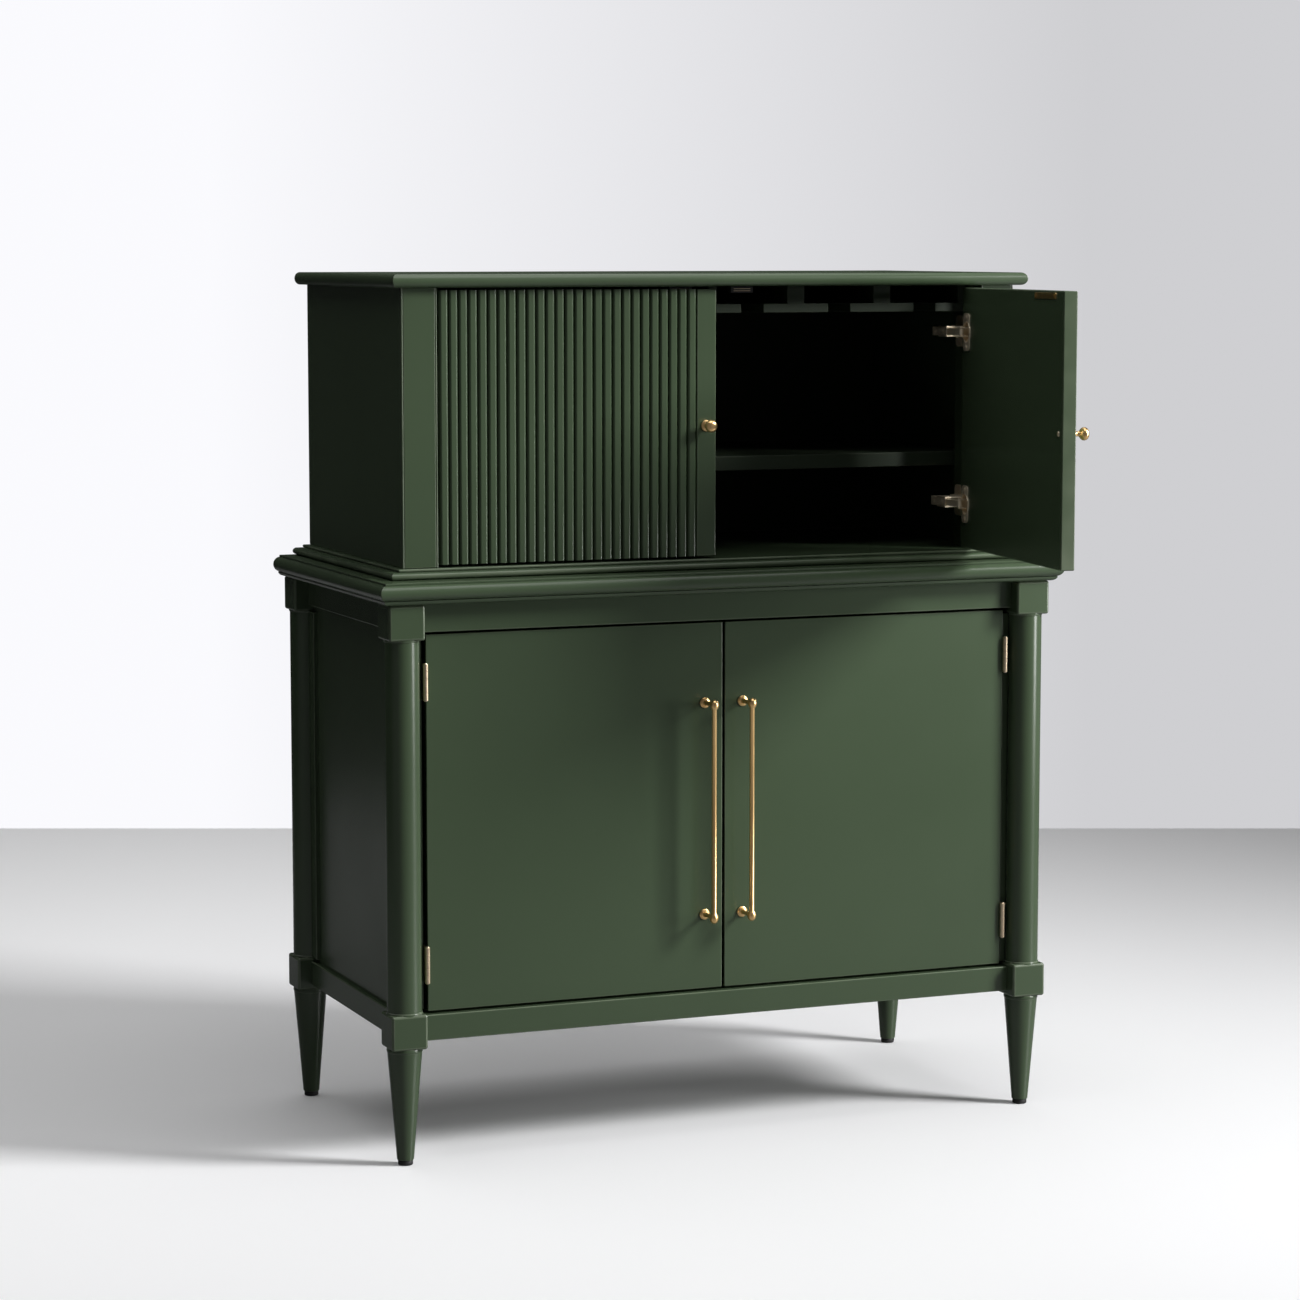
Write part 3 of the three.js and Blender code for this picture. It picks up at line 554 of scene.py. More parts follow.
right_stile = gathered(stile_board, stile_core, *beads, stile_return)
pair_in_lacquer(right_stile, "face_stile")


# Upper back and upper shelf: the back is a thin panel in the case, the shelf a thicker board
# with a softened front edge, level with the middle of the doors.
# The inside of the upper case takes the green at about a third of its strength: a darker copy of the
# outside paint, painted shade for the dimness inside the case.
green_inside_painted_shade = green_lacquer(
    "green_lacquer_inside_painted_shade", 0, share=0.35, sheen=(0.45, 0.55), gloss=0.25,
)
painted("upper_back", green_inside_painted_shade)
in_lacquer(board("upper_shelf_board", *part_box("upper_shelf"), 0.0015), green_inside_painted_shade, "upper_shelf")


# Top board: a plain lacquered board with a half-round nose on its front and both sides. It
# closes the upper case, and the hanging rack is screwed to its underside.
top_low, top_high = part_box("top_board")
top = moulded_board("top_board_moulding", top_high.x, top_low.y, nosed(1.330, 0.020, 0.009, 18))
in_lacquer(top, green_across, "top_board", crease=28)


# Hanging rack: four T-shaped rails screwed up under the top board over the right-hand half,
# with a slot between each two and their arrises softened.
rack_flange = 0.014
rack_stem = 0.015
rack_pitch = 0.150
rack_lap = 0.003
for index in range(4):
    low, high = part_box(f"rack_rail_{index + 1}")
    flange = board("rack_flange", low, (high.x, high.y, low.z + rack_flange), 0.0012)
    stem_left = max(low.x, rack_pitch * index - rack_stem) + 0.0002
    stem_right = min(high.x, rack_pitch * index + rack_stem) - 0.0002
    stem = board("rack_stem", (stem_left, low.y + 0.0006, low.z + rack_flange - rack_lap),
                 (stem_right, high.y - 0.0006, high.z), 0.0008)
    rail = named(gathered(flange, stem), f"hanging_rail_{index + 1}")
    # The rails take the darker inside green, painted shade.
    in_lacquer(rail, green_inside_painted_shade, f"rack_rail_{index + 1}")


# Lower doors: flat slabs with softened arrises, hung between the posts a little behind the
# columns' faces. Their top and side edges are painted dark, as painted shade in the gaps
# round the shut doors.
door_ease = 0.0016
straight = 0.99
for side in ("left", "right"):
    slab = board(f"lower_door_{side}_slab", *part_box(f"lower_door_{side}"), door_ease, segments=4)
    in_lacquer(slab, green_upright, f"lower_door_{side}", body=f"lower_{side}_door")
    # Painted shade: the top and side edges of each slab are marked below 0, to be painted dark.
    noted(slab, -1, lambda part: part.normal.z > straight or abs(part.normal.x) > straight)


# Butt hinges: bronzed steel, two leaves on one pin with five knuckles. The frame leaf has the
# outer and the middle knuckles, and each leaf is held by three countersunk screws.
bronze = parts_finish(
    "bronzed_steel", tones=((0.56, 0.44, 0.30), (0.74, 0.61, 0.44)), metallic=1.0,
    patch={"Scale": 160.0, "Detail": 5.0, "Roughness": 0.7}, dull=(0.24, 0.44),
    relief=(0.2, 0.00001), brush=(1800.0, 1800.0, 60.0),
)
hinge_x = -0.491
hinge_y = face + 0.026
hinge_tall = 0.056
plate_face, plate_behind = 0.00045, 0.0017
screw_height = 0.019
knuckle_play = 0.00015
knuckle_chamfer = 0.0004
knuckle_radius = 0.0042
knuckle_count = 5
knuckle_tall = hinge_tall / knuckle_count


def screw(name, place, along, radius=0.0027, rise=0.0003):
    """A countersunk screw head: a low dome with a cross recess sunk in it."""
    head = turned(name, place, [
        (radius, -0.0004), (radius, rise * 0.3), (radius * 0.8, rise * 0.9), (radius * 0.3, rise),
    ], sides=20, along=along)
    axis = Vector(along)
    recess, narrow, deep = 0.62, 0.22, 0.5
    if abs(axis.z) > 0.5:
        spans = ((1, narrow, deep), (narrow, 1, deep))
    elif abs(axis.y) > 0.5:
        spans = ((1, deep, narrow), (narrow, deep, 1))
    else:
        spans = ((deep, 1, narrow), (deep, narrow, 1))
    centre = Vector(place) + axis * (rise + radius * 0.20)
    for span in spans:
        bpy.ops.mesh.primitive_cube_add(size=2, location=centre)
        bit = bpy.context.object
        bit.scale = Vector(span) * radius * recess
        bpy.ops.object.transform_apply()
        combined(head, bit, "DIFFERENCE")
    return head


def leaf(name, outward, ranks):
    """One leaf of a left-hand hinge centred on z = 0, with the knuckles of the given ranks."""
    plate_x = hinge_x + outward * plate_face
    plate_back = hinge_x + outward * plate_behind
    left, right = min(plate_x, plate_back), max(plate_x, plate_back)
    parts = []
    for rank in ranks:
        foot = -hinge_tall / 2 + rank * knuckle_tall + knuckle_play
        head = foot + knuckle_tall - 2 * knuckle_play
        parts.append(turned("knuckle", (hinge_x, hinge_y, 0), [
            (knuckle_radius - knuckle_chamfer, foot), (knuckle_radius, foot + knuckle_chamfer),
            (knuckle_radius, head - knuckle_chamfer), (knuckle_radius - knuckle_chamfer, head),
        ], sides=28))
        parts.append(board("tongue", (left, hinge_y + 0.002, foot),
                           (right, hinge_y + 0.0062, head), 0.0002, segments=1))
    plate = board("plate", (left, hinge_y + 0.0047, -hinge_tall / 2),
                  (right, hinge_y + 0.023, hinge_tall / 2), 0.0003, segments=2)
    for height, depth in ((-screw_height, 0.0175), (0.0, 0.0115), (screw_height, 0.0175)):
        place = (plate_x, hinge_y + depth, height)
        parts.append(screw("screw", place, (-outward, 0, 0), rise=0.0002))
    return named(gathered(plate, *parts), name)


frame_leaf = leaf("frame_leaf", -1, (0, 2, 4))
pin_end = hinge_tall / 2
pin = turned("pin", (hinge_x, hinge_y, 0), [
    (0.0012, -pin_end - 0.0014), (0.0024, -pin_end - 0.0009), (0.0028, -pin_end),
    (0.0020, -pin_end + 0.0002), (0.0020, pin_end - 0.0002), (0.0028, pin_end),
    (0.0024, pin_end + 0.0009), (0.0012, pin_end + 0.0014),
], sides=24)
frame_leaf = gathered(frame_leaf, pin)
door_leaf = leaf("door_leaf", 1, (1, 3))
for level in ("bottom", "top"):
    for side in ("left", "right"):
        low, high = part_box(f"butt_frame_leaf_{level}_{side}")
        middle = (0, 0, (low.z + high.z) / 2)
        for pattern, part, body in ((frame_leaf, "frame_leaf", "cabinet"),
                                    (door_leaf, "door_leaf", f"lower_{side}_door")):
            hung = copied(pattern, f"hinge_{part}_{level}_{side}", middle, side == "right")
            finished(hung, bronze, "hinge_metal", body, f"butt_{part}_{level}_{side}")
for pattern in (frame_leaf, door_leaf):
    bpy.data.objects.remove(pattern)

# Bar pulls: brushed brass. A slim bar ends in two oval caps, and each cap stands off the door
# on a short post with a stepped round rosette at its foot.
brass = parts_finish(
    "brushed_brass", tones=((0.86, 0.54, 0.22), (0.94, 0.65, 0.31)), metallic=1.0,
    patch={"Scale": 14.0, "Detail": 2.0}, dull=(0.24, 0.34), relief=(0.1, 0.000004),
    brush=(900.0, 900.0, 6.0), brushed_dull=True,
)
pull_low, pull_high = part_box("bar_pull_left")
pull_x = -0.032
pull_middle = (pull_low.z + pull_high.z) / 2
door_face = face + 0.030
pull_axis = door_face - 0.038
pull_half = 0.167
bar_radius = 0.0039
cap_radius, cap_half = 0.0070, 0.0088
neck = 0.85
bar_half = pull_half - cap_half * sin(neck) - 0.0012


def oval_cap(middle, start, stop, steps=14):
    """Half the outline of an oval cap, as (radius, height) from one angle to another."""
    turns = [start + (stop - start) * step / steps for step in range(steps + 1)]
    return [
        (max(cap_radius * cos(turn), 0.0006), middle + cap_half * sin(turn)) for turn in turns
    ]


bar = turned("bar", (pull_x, pull_axis, pull_middle), [
    *oval_cap(-pull_half, -pi / 2, neck), (bar_radius, -bar_half),
    (bar_radius, bar_half), *oval_cap(pull_half, -neck, pi / 2),
], sides=40)
stand_offs = [
    turned("stand_off", (pull_x, door_face, pull_middle + height), [
        (0.0085, 0.0003), (0.0085, 0.0016), (0.0081, 0.0022), (0.0074, 0.0025), (0.0070, 0.0027),
        (0.0070, 0.0034), (0.0066, 0.0039), (0.0058, 0.0041), (0.0044, 0.0046), (0.0036, 0.0060),
        (0.0034, 0.0180), (0.0034, 0.0300), (0.0037, 0.0330), (0.0040, 0.0350),
    ], sides=36, along=(0, -1, 0))
    for height in (-pull_half, pull_half)
]
left_pull = gathered(bar, *stand_offs)
right_pull = copied(left_pull, "pull_bar_right", mirrored=True)
named(left_pull, "pull_bar_left")
finished(right_pull, brass, "brass", "lower_right_door", "bar_pull_right", flats=False)
finished(left_pull, brass, "brass", "lower_left_door", "bar_pull_left", flats=False)


# Upper doors: tambour-like slabs. Twenty-seven round-edged reeds run from top to bottom between
# the hinge edge and a flat lock stile. The inside is plain, with two bores for the hinges.
reed_count = 27
reed_depth = 0.0055
reed_groove = 0.0014
reed_round = 0.0038
lock_stile = 0.032
leaf_low, leaf_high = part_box("upper_door_left")
leaf_tall = leaf_high.z - leaf_low.z
stile_edge = leaf_high.x - lock_stile
reed_pitch = (leaf_high.x - leaf_low.x - lock_stile) / reed_count
reed_half = (reed_pitch - reed_groove) / 2
groove_floor = upper_front + reed_depth
leaf_thick = 0.022
leaf_back = upper_front + leaf_thick
leaf_ease = 0.0018
bore_radius, bore_depth = 0.0176, 0.0246
cup_x = leaf_low.x + 0.0225
cup_heights = (leaf_low.z + 0.070, leaf_high.z - 0.070)
touching = 1e-5


def choose(piece, kind, test):
    """Selects in edit mode the faces or the edges that pass a test."""
    bpy.ops.mesh.select_mode(type=kind)
    bpy.ops.mesh.select_all(action="DESELECT")
    mesh = bmesh.from_edit_mesh(piece.data)
    for part in (mesh.faces if kind == "FACE" else mesh.edges):
        if test(part):
            part.select_set(True)
    bmesh.update_edit_mesh(piece.data)


def lies_at(edge, axis, value):
    """Says whether both ends of an edge lie at one value along an axis."""
    return all(abs(end.co[axis] - value) < touching for end in edge.verts)


def upright_at(x, y=None):
    """A test for upright edges at a place in plan."""
    def test(edge):
        a, b = edge.verts[0].co, edge.verts[1].co
        tall = abs(a.z - b.z) > leaf_tall / 2
        return tall and lies_at(edge, 0, x) and (y is None or lies_at(edge, 1, y))
    return test


def at_an_end(edge):
    """A test for the edges round the top and the bottom of the flat parts of the door."""
    if not (lies_at(edge, 2, leaf_low.z) or lies_at(edge, 2, leaf_high.z)):
        return False
    on_stile = all(end.co.x > stile_edge - touching for end in edge.verts)
    return (lies_at(edge, 1, leaf_back) or lies_at(edge, 0, leaf_high.x)
            or (on_stile and lies_at(edge, 1, upper_front)))


def drawn_out(x, y=0.0):
    """Extrudes what is selected by a move in plan."""
    bpy.ops.mesh.extrude_region_move(TRANSFORM_OT_translate={"value": (x, y, 0)})


first_reed = (leaf_low.x + reed_pitch / 2, groove_floor, (leaf_low.z + leaf_high.z) / 2)
reed_sides = (first_reed[0] - reed_half, first_reed[0] + reed_half)
bpy.ops.object.select_all(action="DESELECT")
bpy.ops.mesh.primitive_cube_add(size=1, location=first_reed)
upper_leaf = named(bpy.context.object, "reeded_door_left")
upper_leaf.scale = (2 * reed_half, 2 * reed_round, leaf_tall)
bpy.ops.object.transform_apply()
bpy.ops.object.mode_set(mode="EDIT")
choose(upper_leaf, "FACE", lambda part: abs(part.normal.z) > straight or part.normal.y > straight)
bpy.ops.mesh.delete(type="FACE")
bpy.ops.mesh.select_all(action="SELECT")
bpy.ops.mesh.bisect(plane_co=first_reed, plane_no=(0, 1, 0), clear_outer=True)
reed_arrises = [upright_at(x, groove_floor - reed_round) for x in reed_sides]
choose(upper_leaf, "EDGE", lambda edge: any(test(edge) for test in reed_arrises))
bpy.ops.mesh.bevel(offset=reed_round * 0.99, segments=8, affect="EDGES")
bpy.ops.mesh.select_all(action="SELECT")
bpy.ops.transform.resize(value=(1, reed_depth / reed_round, 1), center_override=first_reed)
for x, half_groove in zip(reed_sides, (-reed_groove / 2, reed_groove / 2)):
    choose(upper_leaf, "EDGE", upright_at(x, groove_floor))
    drawn_out(half_groove)
bpy.ops.object.mode_set(mode="OBJECT")
apply_modifier(
    upper_leaf, "ARRAY", count=reed_count, use_relative_offset=False, use_constant_offset=True,
    constant_offset_displace=(reed_pitch, 0, 0), use_merge_vertices=True, merge_threshold=touching,
)
bpy.ops.object.mode_set(mode="EDIT")
choose(upper_leaf, "EDGE", upright_at(stile_edge))
drawn_out(0, -reed_depth)
drawn_out(lock_stile)
bpy.ops.mesh.select_all(action="SELECT")
drawn_out(0, leaf_thick)
bpy.ops.transform.resize(value=(1, 0, 1), center_override=(0, leaf_back, 0))
bpy.ops.mesh.select_all(action="SELECT")
bpy.ops.mesh.remove_doubles(threshold=1e-6)
bpy.ops.mesh.dissolve_degenerate(threshold=1e-6)
bpy.ops.mesh.select_all(action="SELECT")
bpy.ops.mesh.normals_make_consistent(inside=False)
choose(upper_leaf, "FACE", lambda part: abs(part.normal.z) > straight or (
    part.normal.y > straight and part.calc_center_median().y > leaf_back - 1e-4))
bpy.ops.mesh.dissolve_limited(angle_limit=radians(1))
softened = [
    upright_at(x, y) for x, y in ((stile_edge, upper_front), (leaf_high.x, upper_front),
                                  (leaf_high.x, leaf_back), (leaf_low.x, leaf_back),
                                  (leaf_low.x, groove_floor))
]
choose(upper_leaf, "EDGE", lambda edge: at_an_end(edge) or any(test(edge) for test in softened))
bpy.ops.mesh.bevel(offset=leaf_ease, segments=3, affect="EDGES")
bpy.ops.object.mode_set(mode="OBJECT")
for height in cup_heights:
    bored(upper_leaf, (cup_x, leaf_back, height), bore_radius, bore_depth)

# The paint is lightened on the flat parts' arrises, partly as wear and partly as a painted
# highlight, and most on the free end, where it is mainly a painted highlight. The groove
# floors are painted dark, as painted shade in the grooves.
narrow = arris_of(upper_leaf.data)
noted(upper_leaf, 1, lambda part: narrow(part) and (
    part.center.y > leaf_back - 0.003 or part.center.x > stile_edge - 0.0005))
noted(upper_leaf, -1, lambda part: abs(part.center.y - groove_floor) < 1e-4)
noted(upper_leaf, 1.5, lambda part: (
    part.normal.x > straight and part.center.x > leaf_high.x - 1e-4))

# The right door is the left one mirrored, and stands open on the line that its hinges give.
swing_line = Vector((0.452, upper_front - 0.005, 0))
rest_opening = radians(82)


def for_upper_door(side, piece, name, height=0.0):
    """Copies a piece of the shut left upper door for one side. On the right it is mirrored,
    and turned with the door to where that stands."""
    twin = copied(piece, name, (0, 0, height), side == "right")
    if side == "right":
        alone(twin)
        there = Matrix.Translation(swing_line)
        twin.matrix_world = there @ Matrix.Rotation(rest_opening, 4, "Z") @ there.inverted()
        bpy.ops.object.transform_apply()
    return twin


open_leaf = for_upper_door("right", upper_leaf, "reeded_door_right")
in_lacquer(open_leaf, green_upright, "upper_door_right", body="upper_right_door", crease=30)
in_lacquer(upper_leaf, green_upright, "upper_door_left", body="upper_left_door", crease=30)


# Knobs: turned brass, a round rosette, a waisted neck and a domed mushroom head, each screwed
# through the lock stile from behind.
knob_low, knob_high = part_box("knob_left")
knob_place = ((knob_low.x + knob_high.x) / 2, upper_front, (knob_low.z + knob_high.z) / 2)
knob = turned("turned_knob_left", knob_place, [
    (0.0090, 0.0003), (0.0090, 0.0014), (0.0087, 0.0021), (0.0080, 0.0026), (0.0064, 0.0029),
    (0.0048, 0.0036), (0.0040, 0.0050), (0.0038, 0.0070), (0.0039, 0.0090), (0.0044, 0.0104),
    (0.0056, 0.0117), (0.0074, 0.0131), (0.0089, 0.0148), (0.0097, 0.0164), (0.0100, 0.0180),
    (0.0098, 0.0198), (0.0092, 0.0214), (0.0081, 0.0229), (0.0064, 0.0241), (0.0042, 0.0248),
    (0.0018, 0.0250),
], sides=48, along=(0, -1, 0))
open_knob = for_upper_door("right", knob, "turned_knob_right")
finished(open_knob, brass, "brass", "upper_right_door", "knob_right", flats=False)
finished(knob, brass, "brass", "upper_left_door", "knob_left", flats=False)


# Concealed hinges: plated steel. A pressed cup is let into the door and held by two screws, a
# link turns on the cup's pin, and runs in an arm that is screwed to the return of the stile.
plated = parts_finish(
    "plated_steel", tones=((0.78, 0.66, 0.48), (0.90, 0.79, 0.60)), metallic=0.55,
    patch={"Scale": 120.0, "Detail": 3.0}, dull=(0.26, 0.42), relief=(0.2, 0.00001),
)


def pressed_plate(name, low, high, axis, corner):
    """A thin plate square to one axis, with round corners and its edges just broken."""
    plate = board(name, low, high, 0.00005, segments=1)
    middle = (Vector(low) + Vector(high)) / 2
    reach = (Vector(high) - Vector(low)) / 2
    across = [other for other in range(3) if other != axis]

    def corner_edge(edge):
        a, b = edge.verts[0].co - middle, edge.verts[1].co - middle
        runs = abs(a[axis] - b[axis]) > reach[axis]
        return runs and all(reach[other] - abs(a[other]) < 0.0002 for other in across)

    bpy.ops.object.mode_set(mode="EDIT")
    bpy.ops.mesh.select_all(action="SELECT")
    bpy.ops.mesh.remove_doubles(threshold=0.00012)
    choose(plate, "EDGE", corner_edge)
    bpy.ops.mesh.bevel(offset=corner, segments=8, affect="EDGES")
    bpy.ops.object.mode_set(mode="OBJECT")
    apply_modifier(plate, "BEVEL", width=0.0003, segments=2, limit_method="ANGLE",
                   angle_limit=radians(50))
    return plate


link_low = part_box("hinge_link_bottom_left")[0]
pin_x, pin_y = link_low.x + 0.003, link_low.y + 0.003
link_half = 0.0052
lug_gap = 0.0006
flange_half_wide, flange_half_tall, flange_face = 0.0145, 0.030, leaf_back + 0.0016
flange = pressed_plate("flange", (cup_x - flange_half_wide, leaf_back + 0.0001, -flange_half_tall),
                       (cup_x + flange_half_wide, flange_face, flange_half_tall), 1, 0.009)
bored(flange, (cup_x, leaf_back, 0), 0.0165, 0.01)
bowl = turned("bowl", (cup_x, leaf_back, 0), [
    (0.0163, -0.0120), (0.0173, -0.0110), (0.0173, 0.0014), (0.0170, 0.0019), (0.0164, 0.0019),
    (0.0158, 0.0012), (0.0158, -0.0095), (0.0148, -0.0105),
], sides=48, along=(0, 1, 0))
lug_in, lug_out = link_half + lug_gap, link_half + 0.0026
lugs = [
    board("lug", (pin_x - 0.004, leaf_back - 0.0108, low), (pin_x + 0.004, pin_y + 0.0035, high),
          0.0006)
    for low, high in ((lug_in, lug_out), (-lug_out, -lug_in))
]
pin_half = link_half + 0.0032
hinge_pin = turned("pin", (pin_x, pin_y, 0), [
    (0.0014, -pin_half), (0.0022, -pin_half + 0.0004), (0.0015, -pin_half + 0.0006),
    (0.0015, pin_half - 0.0006), (0.0022, pin_half - 0.0004), (0.0014, pin_half),
], sides=20)
flange_screws = [
    screw("screw", (cup_x, flange_face, height), (0, 1, 0), radius=0.0036, rise=0.0010)
    for height in (-0.0235, 0.0235)
]
cup = gathered(flange, bowl, *lugs, hinge_pin, *flange_screws)

link = board("link", (-0.003, 0, -link_half), (0.003, 0.053, link_half), 0.0007)
bpy.ops.object.mode_set(mode="EDIT")
choose(link, "FACE", lambda part: abs(part.normal.x) > straight)
bpy.ops.mesh.inset(thickness=0.0014, depth=-0.0007)
bpy.ops.object.mode_set(mode="OBJECT")
link_eye = turned("eye", (0, 0, 0), [
    (0.0036, -link_half), (0.0040, -link_half + 0.0004),
    (0.0040, link_half - 0.0004), (0.0036, link_half),
], sides=28)
link = gathered(link, link_eye)

arm_low, arm_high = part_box("hinge_arm_bottom_left")
arm_tall = link_half + lug_gap
arm_step = arm_low.y + 0.030
mouth = arm_high.x
arm_screw_face = arm_low.x + 0.002
arm = pressed_plate("arm", (arm_low.x, arm_low.y, -0.025), (arm_screw_face, arm_high.y, 0.025),
                    0, 0.006)
arm_parts = [board("riser", (arm_low.x + 0.001, arm_low.y + 0.001, -0.009),
                   (mouth - 0.0330, arm_high.y - 0.001, 0.009), 0.001)]
for x, y, z, radius, rise in (
    (arm_screw_face, 0.025, 0.0185, 0.0038, 0.0012),
    (arm_screw_face, 0.025, -0.0185, 0.0038, 0.0012),
    (mouth, 0.012, 0, 0.0032, 0.0006), (mouth, 0.040, 0, 0.0036, 0.0006),
):
    arm_parts.append(screw("screw", (x, arm_low.y + y, z), (1, 0, 0), radius=radius, rise=rise))
for start, stop, wall in ((arm_low.y, arm_step, 0.0028), (arm_step - 0.001, arm_high.y, 0.0014)):
    reach = arm_tall + wall
    for low, high in ((arm_tall, reach), (-reach, -arm_tall)):
        arm_parts.append(board("cheek", (mouth - 0.0340, start, low), (mouth, stop, high), 0.0005))
    arm_parts.append(board("cover", (mouth - 0.0010, start, -reach), (mouth, stop, reach), 0.0004))
arm = gathered(arm, *arm_parts)
for level, height in zip(("bottom", "top"), cup_heights):
    for side in ("left", "right"):
        seat = for_upper_door(side, cup, f"hinge_cup_{level}_{side}_pressed", height)
        finished(seat, plated, "hinge_metal", f"upper_{side}_door", f"hinge_cup_{level}_{side}")
        low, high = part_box(f"hinge_link_{level}_{side}")
        turn = (low.x + 0.003, low.y + 0.003, height)
        bar = copied(link, f"hinge_link_{level}_{side}_pressed", turn)
        finished(bar, plated, "hinge_metal", f"{side}_hinge_links", f"hinge_link_{level}_{side}")
        channel = copied(arm, f"hinge_arm_{level}_{side}_pressed", (0, 0, height), side == "right")
        finished(channel, plated, "hinge_metal", "cabinet", f"hinge_arm_{level}_{side}")
for pattern in (cup, link, arm):
    bpy.data.objects.remove(pattern)


# Catches: a black magnetic catch under the top board meets a brass strike plate on the inside
# of each upper door. The knob's screw comes through beside it.
catch_high = top_low.z
catch = board("catch", (-0.071, upper_front + 0.0240, catch_high - 0.0105),
              (-0.033, upper_front + 0.0345, catch_high - 0.0002), 0.0012)
catch_plates = [
    board("pole", (-0.066, upper_front + 0.0236, catch_high - drop),
          (-0.038, upper_front + 0.0300, catch_high - drop + 0.0008), 0.0002)
    for drop in (0.0078, 0.0046)
]
strike = pressed_plate("strike", (-0.125, leaf_back + 0.00005, leaf_high.z - 0.0125),
                       (-0.033, leaf_back + 0.0012, leaf_high.z - 0.0030), 1, 0.003)
strike_screws = [
    screw("screw", (x, leaf_back + 0.0012, leaf_high.z - 0.00775), (0, 1, 0), 0.0026, 0.0004)
    for x in (-0.118, -0.040)
]
strike = gathered(strike, *strike_screws)
knob_screw = screw("knob_screw", (knob_place[0], leaf_back, knob_place[2]), (0, 1, 0),
                   radius=0.0040, rise=0.0012)
for side in ("left", "right"):
    body = copied(catch, f"catch_{side}", mirrored=side == "right")
    finished(body, black_nylon, "glide", "cabinet")
    poles = gathered(*[copied(pole, "pole", mirrored=side == "right") for pole in catch_plates])
    finished(named(poles, f"catch_poles_{side}"), bronze, "hinge_metal", "cabinet")
    plate = for_upper_door(side, strike, f"strike_plate_{side}")
    finished(plate, brass, "brass", f"upper_{side}_door")
    head = for_upper_door(side, knob_screw, f"knob_screw_{side}")
    finished(head, plated, "hinge_metal", f"upper_{side}_door")
for pattern in (catch, *catch_plates, strike, knob_screw):
    bpy.data.objects.remove(pattern)


# Back screws: countersunk screws of plated steel, in a row round the edges of both back
# panels, which they hold to the cases.
back_screw = screw("back_screw", (0, 0, 0), (0, 1, 0), radius=0.0034, rise=0.0004)
screw_margin = 0.012
for panel, across, up in (("upper_back", 5, 3), ("lower_back", 5, 4)):
    low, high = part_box(panel)
    wide, tall = high.x - low.x - 2 * screw_margin, high.z - low.z - 2 * screw_margin
    heads = []
    for column in range(across):
        for row in range(up):
            if column in (0, across - 1) or row in (0, up - 1):
                x = low.x + screw_margin + wide * column / (across - 1)
                z = low.z + screw_margin + tall * row / (up - 1)
                heads.append(copied(back_screw, "head", (x, high.y, z)))
    finished(named(gathered(*heads), f"{panel}_screws"), plated, "hinge_metal", "cabinet")
bpy.data.objects.remove(back_screw)


# Studio: a pale floor in front of a pale surround, both paler on the left. Four lamps light it:
# a narrowed one high on the right, a soft one low on the right, a broad one above and behind,
# and one over the front. Gloss alone shows a pale card at the left in front.
bpy.context.scene.view_settings.view_transform = "Standard"
world = bpy.data.worlds.new("studio")
bpy.context.scene.world = world
world.use_nodes = True
backing = world.node_tree.nodes["Background"]
backing.inputs["Color"].default_value = (0.760, 0.760, 0.785, 1)
paths = add_node(world, "LightPath").outputs
towards = add_node(world, "TexCoord").outputs["Generated"]


def graded(direction, start, stop, first, last):
    """A strength for the surround, which goes from first to last as the way out turns towards
    a direction and their dot product goes from start to stop."""
    share = add_node(world, "VectorMath", {1: direction}, operation="DOT_PRODUCT")
    level = add_node(world, "MapRange", {
        "From Min": start, "From Max": stop, "To Min": first, "To Max": last,
    })
    join_nodes(world, (towards, share, 0), (share.outputs["Value"], level, "Value"))
    return level.outputs["Result"]


gloss_level = graded((0.90, -0.43, 0.0), 0.0, 1.0, 0.02, 0.30)
card_level = graded((-0.75, -0.66, 0.0), 0.70, 0.98, 0.0, 0.20)
wall_level = graded((0.9256, -0.3785, 0.0), -0.12, 0.12, 1.26, 0.82)
gloss_sum = add_node(world, "Math", operation="ADD")
gloss_paths = add_node(world, "Math", operation="MAXIMUM")
soft_level = add_node(world, "Mix", {"A": 0.05})
seen_level = add_node(world, "Mix")
join_nodes(
    world,
    (gloss_level, gloss_sum, 0),
    (card_level, gloss_sum, 1),
    (paths["Is Glossy Ray"], gloss_paths, 0),
    (paths["Is Transmission Ray"], gloss_paths, 1),
    (gloss_paths, soft_level, "Factor"),
    (gloss_sum, soft_level, "B"),
    (paths["Is Camera Ray"], seen_level, "Factor"),
    (soft_level, seen_level, "A"),
    (wall_level, seen_level, "B"),
    (seen_level, backing, "Strength"),
)

view_turn = radians(-22.24)
floor_back, floor_front, floor_side, floor_fade = 2.95, 3.4, 3.3, 0.7
bpy.ops.object.select_all(action="DESELECT")
bpy.ops.mesh.primitive_plane_add(size=1)
floor = named(bpy.context.object, "studio_floor")
floor.scale = (2 * floor_side, floor_back + floor_front, 1)
floor_middle = Vector((0, (floor_back - floor_front) / 2, 0))
floor.location = Matrix.Rotation(view_turn, 3, "Z") @ floor_middle
floor.rotation_euler = (0, 0, view_turn)
bpy.ops.object.transform_apply()
floor_paint, floor_shader = finish_named("pale_floor")
floor_bounce = (0.27, 0.27, 0.275)
floor_left, floor_right = (0.92, 0.92, 0.93), (0.74, 0.74, 0.75)
floor_tone = add_node(floor_paint, "MixRGB", {"Color1": colour(floor_bounce)})
floor_run = add_node(floor_paint, "MapRange", {"From Min": -1.1, "From Max": 1.0})
floor_sweep = add_node(floor_paint, "MixRGB", {
    "Color1": colour(floor_left), "Color2": colour(floor_right),
})
floor_paths = add_node(floor_paint, "LightPath").outputs
floor_lift = add_node(floor_paint, "Math", {1: 0.05}, operation="MULTIPLY")
floor_seen = add_node(floor_paint, "Math", operation="MAXIMUM")
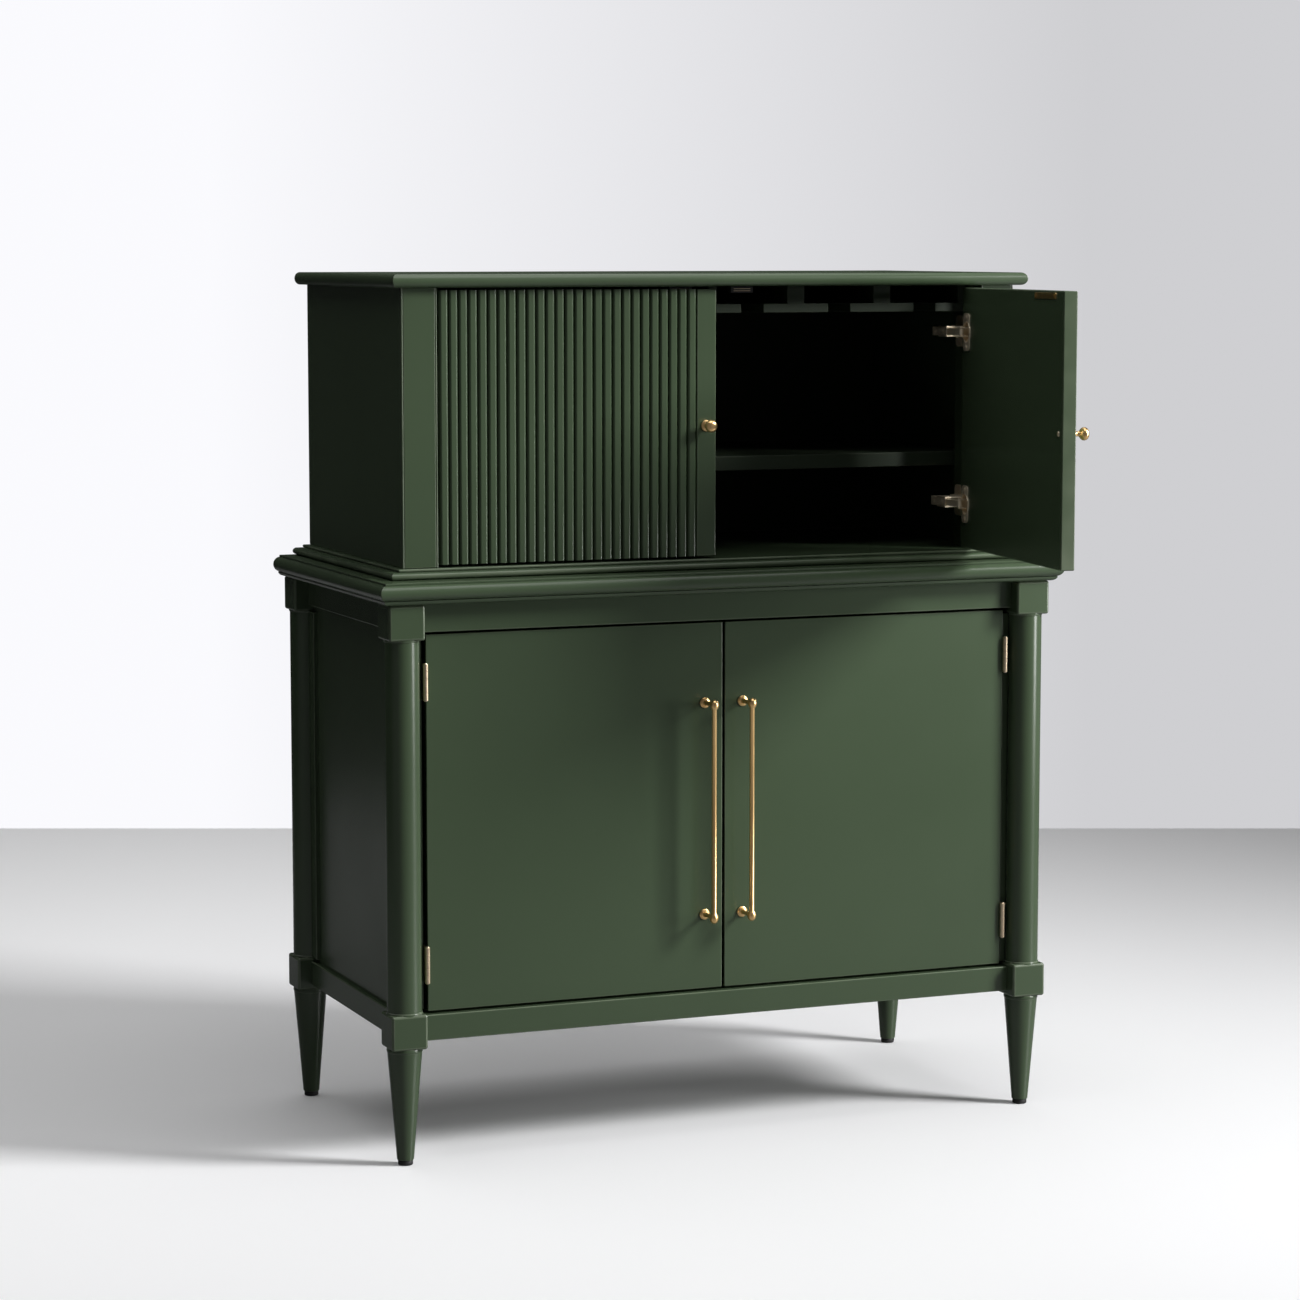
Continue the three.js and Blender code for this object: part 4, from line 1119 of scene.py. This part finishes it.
floor_shader.inputs["Emission Color"].default_value = (1, 1, 1, 1)
floor_shader.inputs["Roughness"].default_value = 0.4
floor_shader.inputs["Specular IOR Level"].default_value = 0.3
floor_place = add_node(floor_paint, "TexCoord").outputs["Object"]
floor_turn = add_node(floor_paint, "Mapping", {"Rotation": (0, 0, -view_turn)})
floor_parts = add_node(floor_paint, "SeparateXYZ")
floor_across = add_node(floor_paint, "Math", operation="ABSOLUTE")
side_fade = add_node(floor_paint, "MapRange", {
    "From Min": floor_side - floor_fade, "From Max": floor_side,
})
front_fade = add_node(floor_paint, "MapRange", {
    "From Min": floor_fade - floor_front, "From Max": -floor_front,
})
floor_edge = add_node(floor_paint, "Math", operation="MAXIMUM")
floor_clear = add_node(floor_paint, "BsdfTransparent")
floor_blend = add_node(floor_paint, "MixShader")
floor_output = floor_paint.node_tree.nodes["Material Output"]
join_nodes(
    floor_paint,
    (floor_paths["Is Camera Ray"], floor_seen, 0),
    (floor_paths["Is Camera Ray"], floor_lift, 0),
    (floor_lift, floor_shader, "Emission Strength"),
    (floor_paths["Is Transmission Ray"], floor_seen, 1),
    (floor_seen, floor_tone, "Fac"),
    (floor_tone, floor_shader, "Base Color"),
    (floor_place, floor_turn, "Vector"),
    (floor_turn, floor_parts, "Vector"),
    (floor_parts.outputs["X"], floor_across, 0),
    (floor_parts.outputs["X"], floor_run, "Value"),
    (floor_run, floor_sweep, "Fac"),
    (floor_sweep, floor_tone, "Color2"),
    (floor_across, side_fade, "Value"),
    (floor_parts.outputs["Y"], front_fade, "Value"),
    (side_fade, floor_edge, 0),
    (front_fade, floor_edge, 1),
    (floor_edge, floor_blend, "Fac"),
    (floor_shader, floor_blend, 1),
    (floor_clear, floor_blend, 2),
    (floor_blend, floor_output, "Surface"),
)
floor.data.materials.append(floor_paint)


def soft_lamp(name, place, aim, width, height, power, spread=180):
    """Adds a rectangular lamp at a place, turned to a point, with a grid that narrows it."""
    data = bpy.data.lights.new(name, "AREA")
    data.shape = "RECTANGLE"
    data.size, data.size_y = width, height
    data.energy = power
    data.spread = radians(spread)
    lamp = bpy.data.objects.new(name, data)
    lamp.location = place
    lamp.rotation_euler = (Vector(place) - Vector(aim)).to_track_quat("Z", "Y").to_euler()
    bpy.context.scene.collection.objects.link(lamp)


soft_lamp("key_lamp", (3.79, -2.51, 3.35), (-0.1, 0.0, 1.25), 1.2, 1.7, 88, spread=80)
soft_lamp("strip_lamp", (2.60, -1.75, 0.95), (0.0, 0.0, 0.90), 0.8, 1.2, 48)
soft_lamp("top_lamp", (-0.50, 1.80, 4.30), (-0.51, 1.80, 0.0), 5.5, 5.0, 110)
soft_lamp("front_lamp", (0.20, -1.60, 4.50), (0.1, 0.0, 1.0), 2.4, 2.4, 36)

eye = (-2.2230, face - 5.1028, 1.3932)
view_down = 6.39
lens = bpy.data.cameras.new("camera")
lens.lens = 100.1
lens.sensor_width = 36
camera = bpy.data.objects.new("camera", lens)
camera.location = eye
camera.rotation_euler = (radians(90 - view_down), 0, view_turn)
bpy.context.scene.collection.objects.link(camera)
bpy.context.scene.camera = camera

bpy.context.view_layer.update()
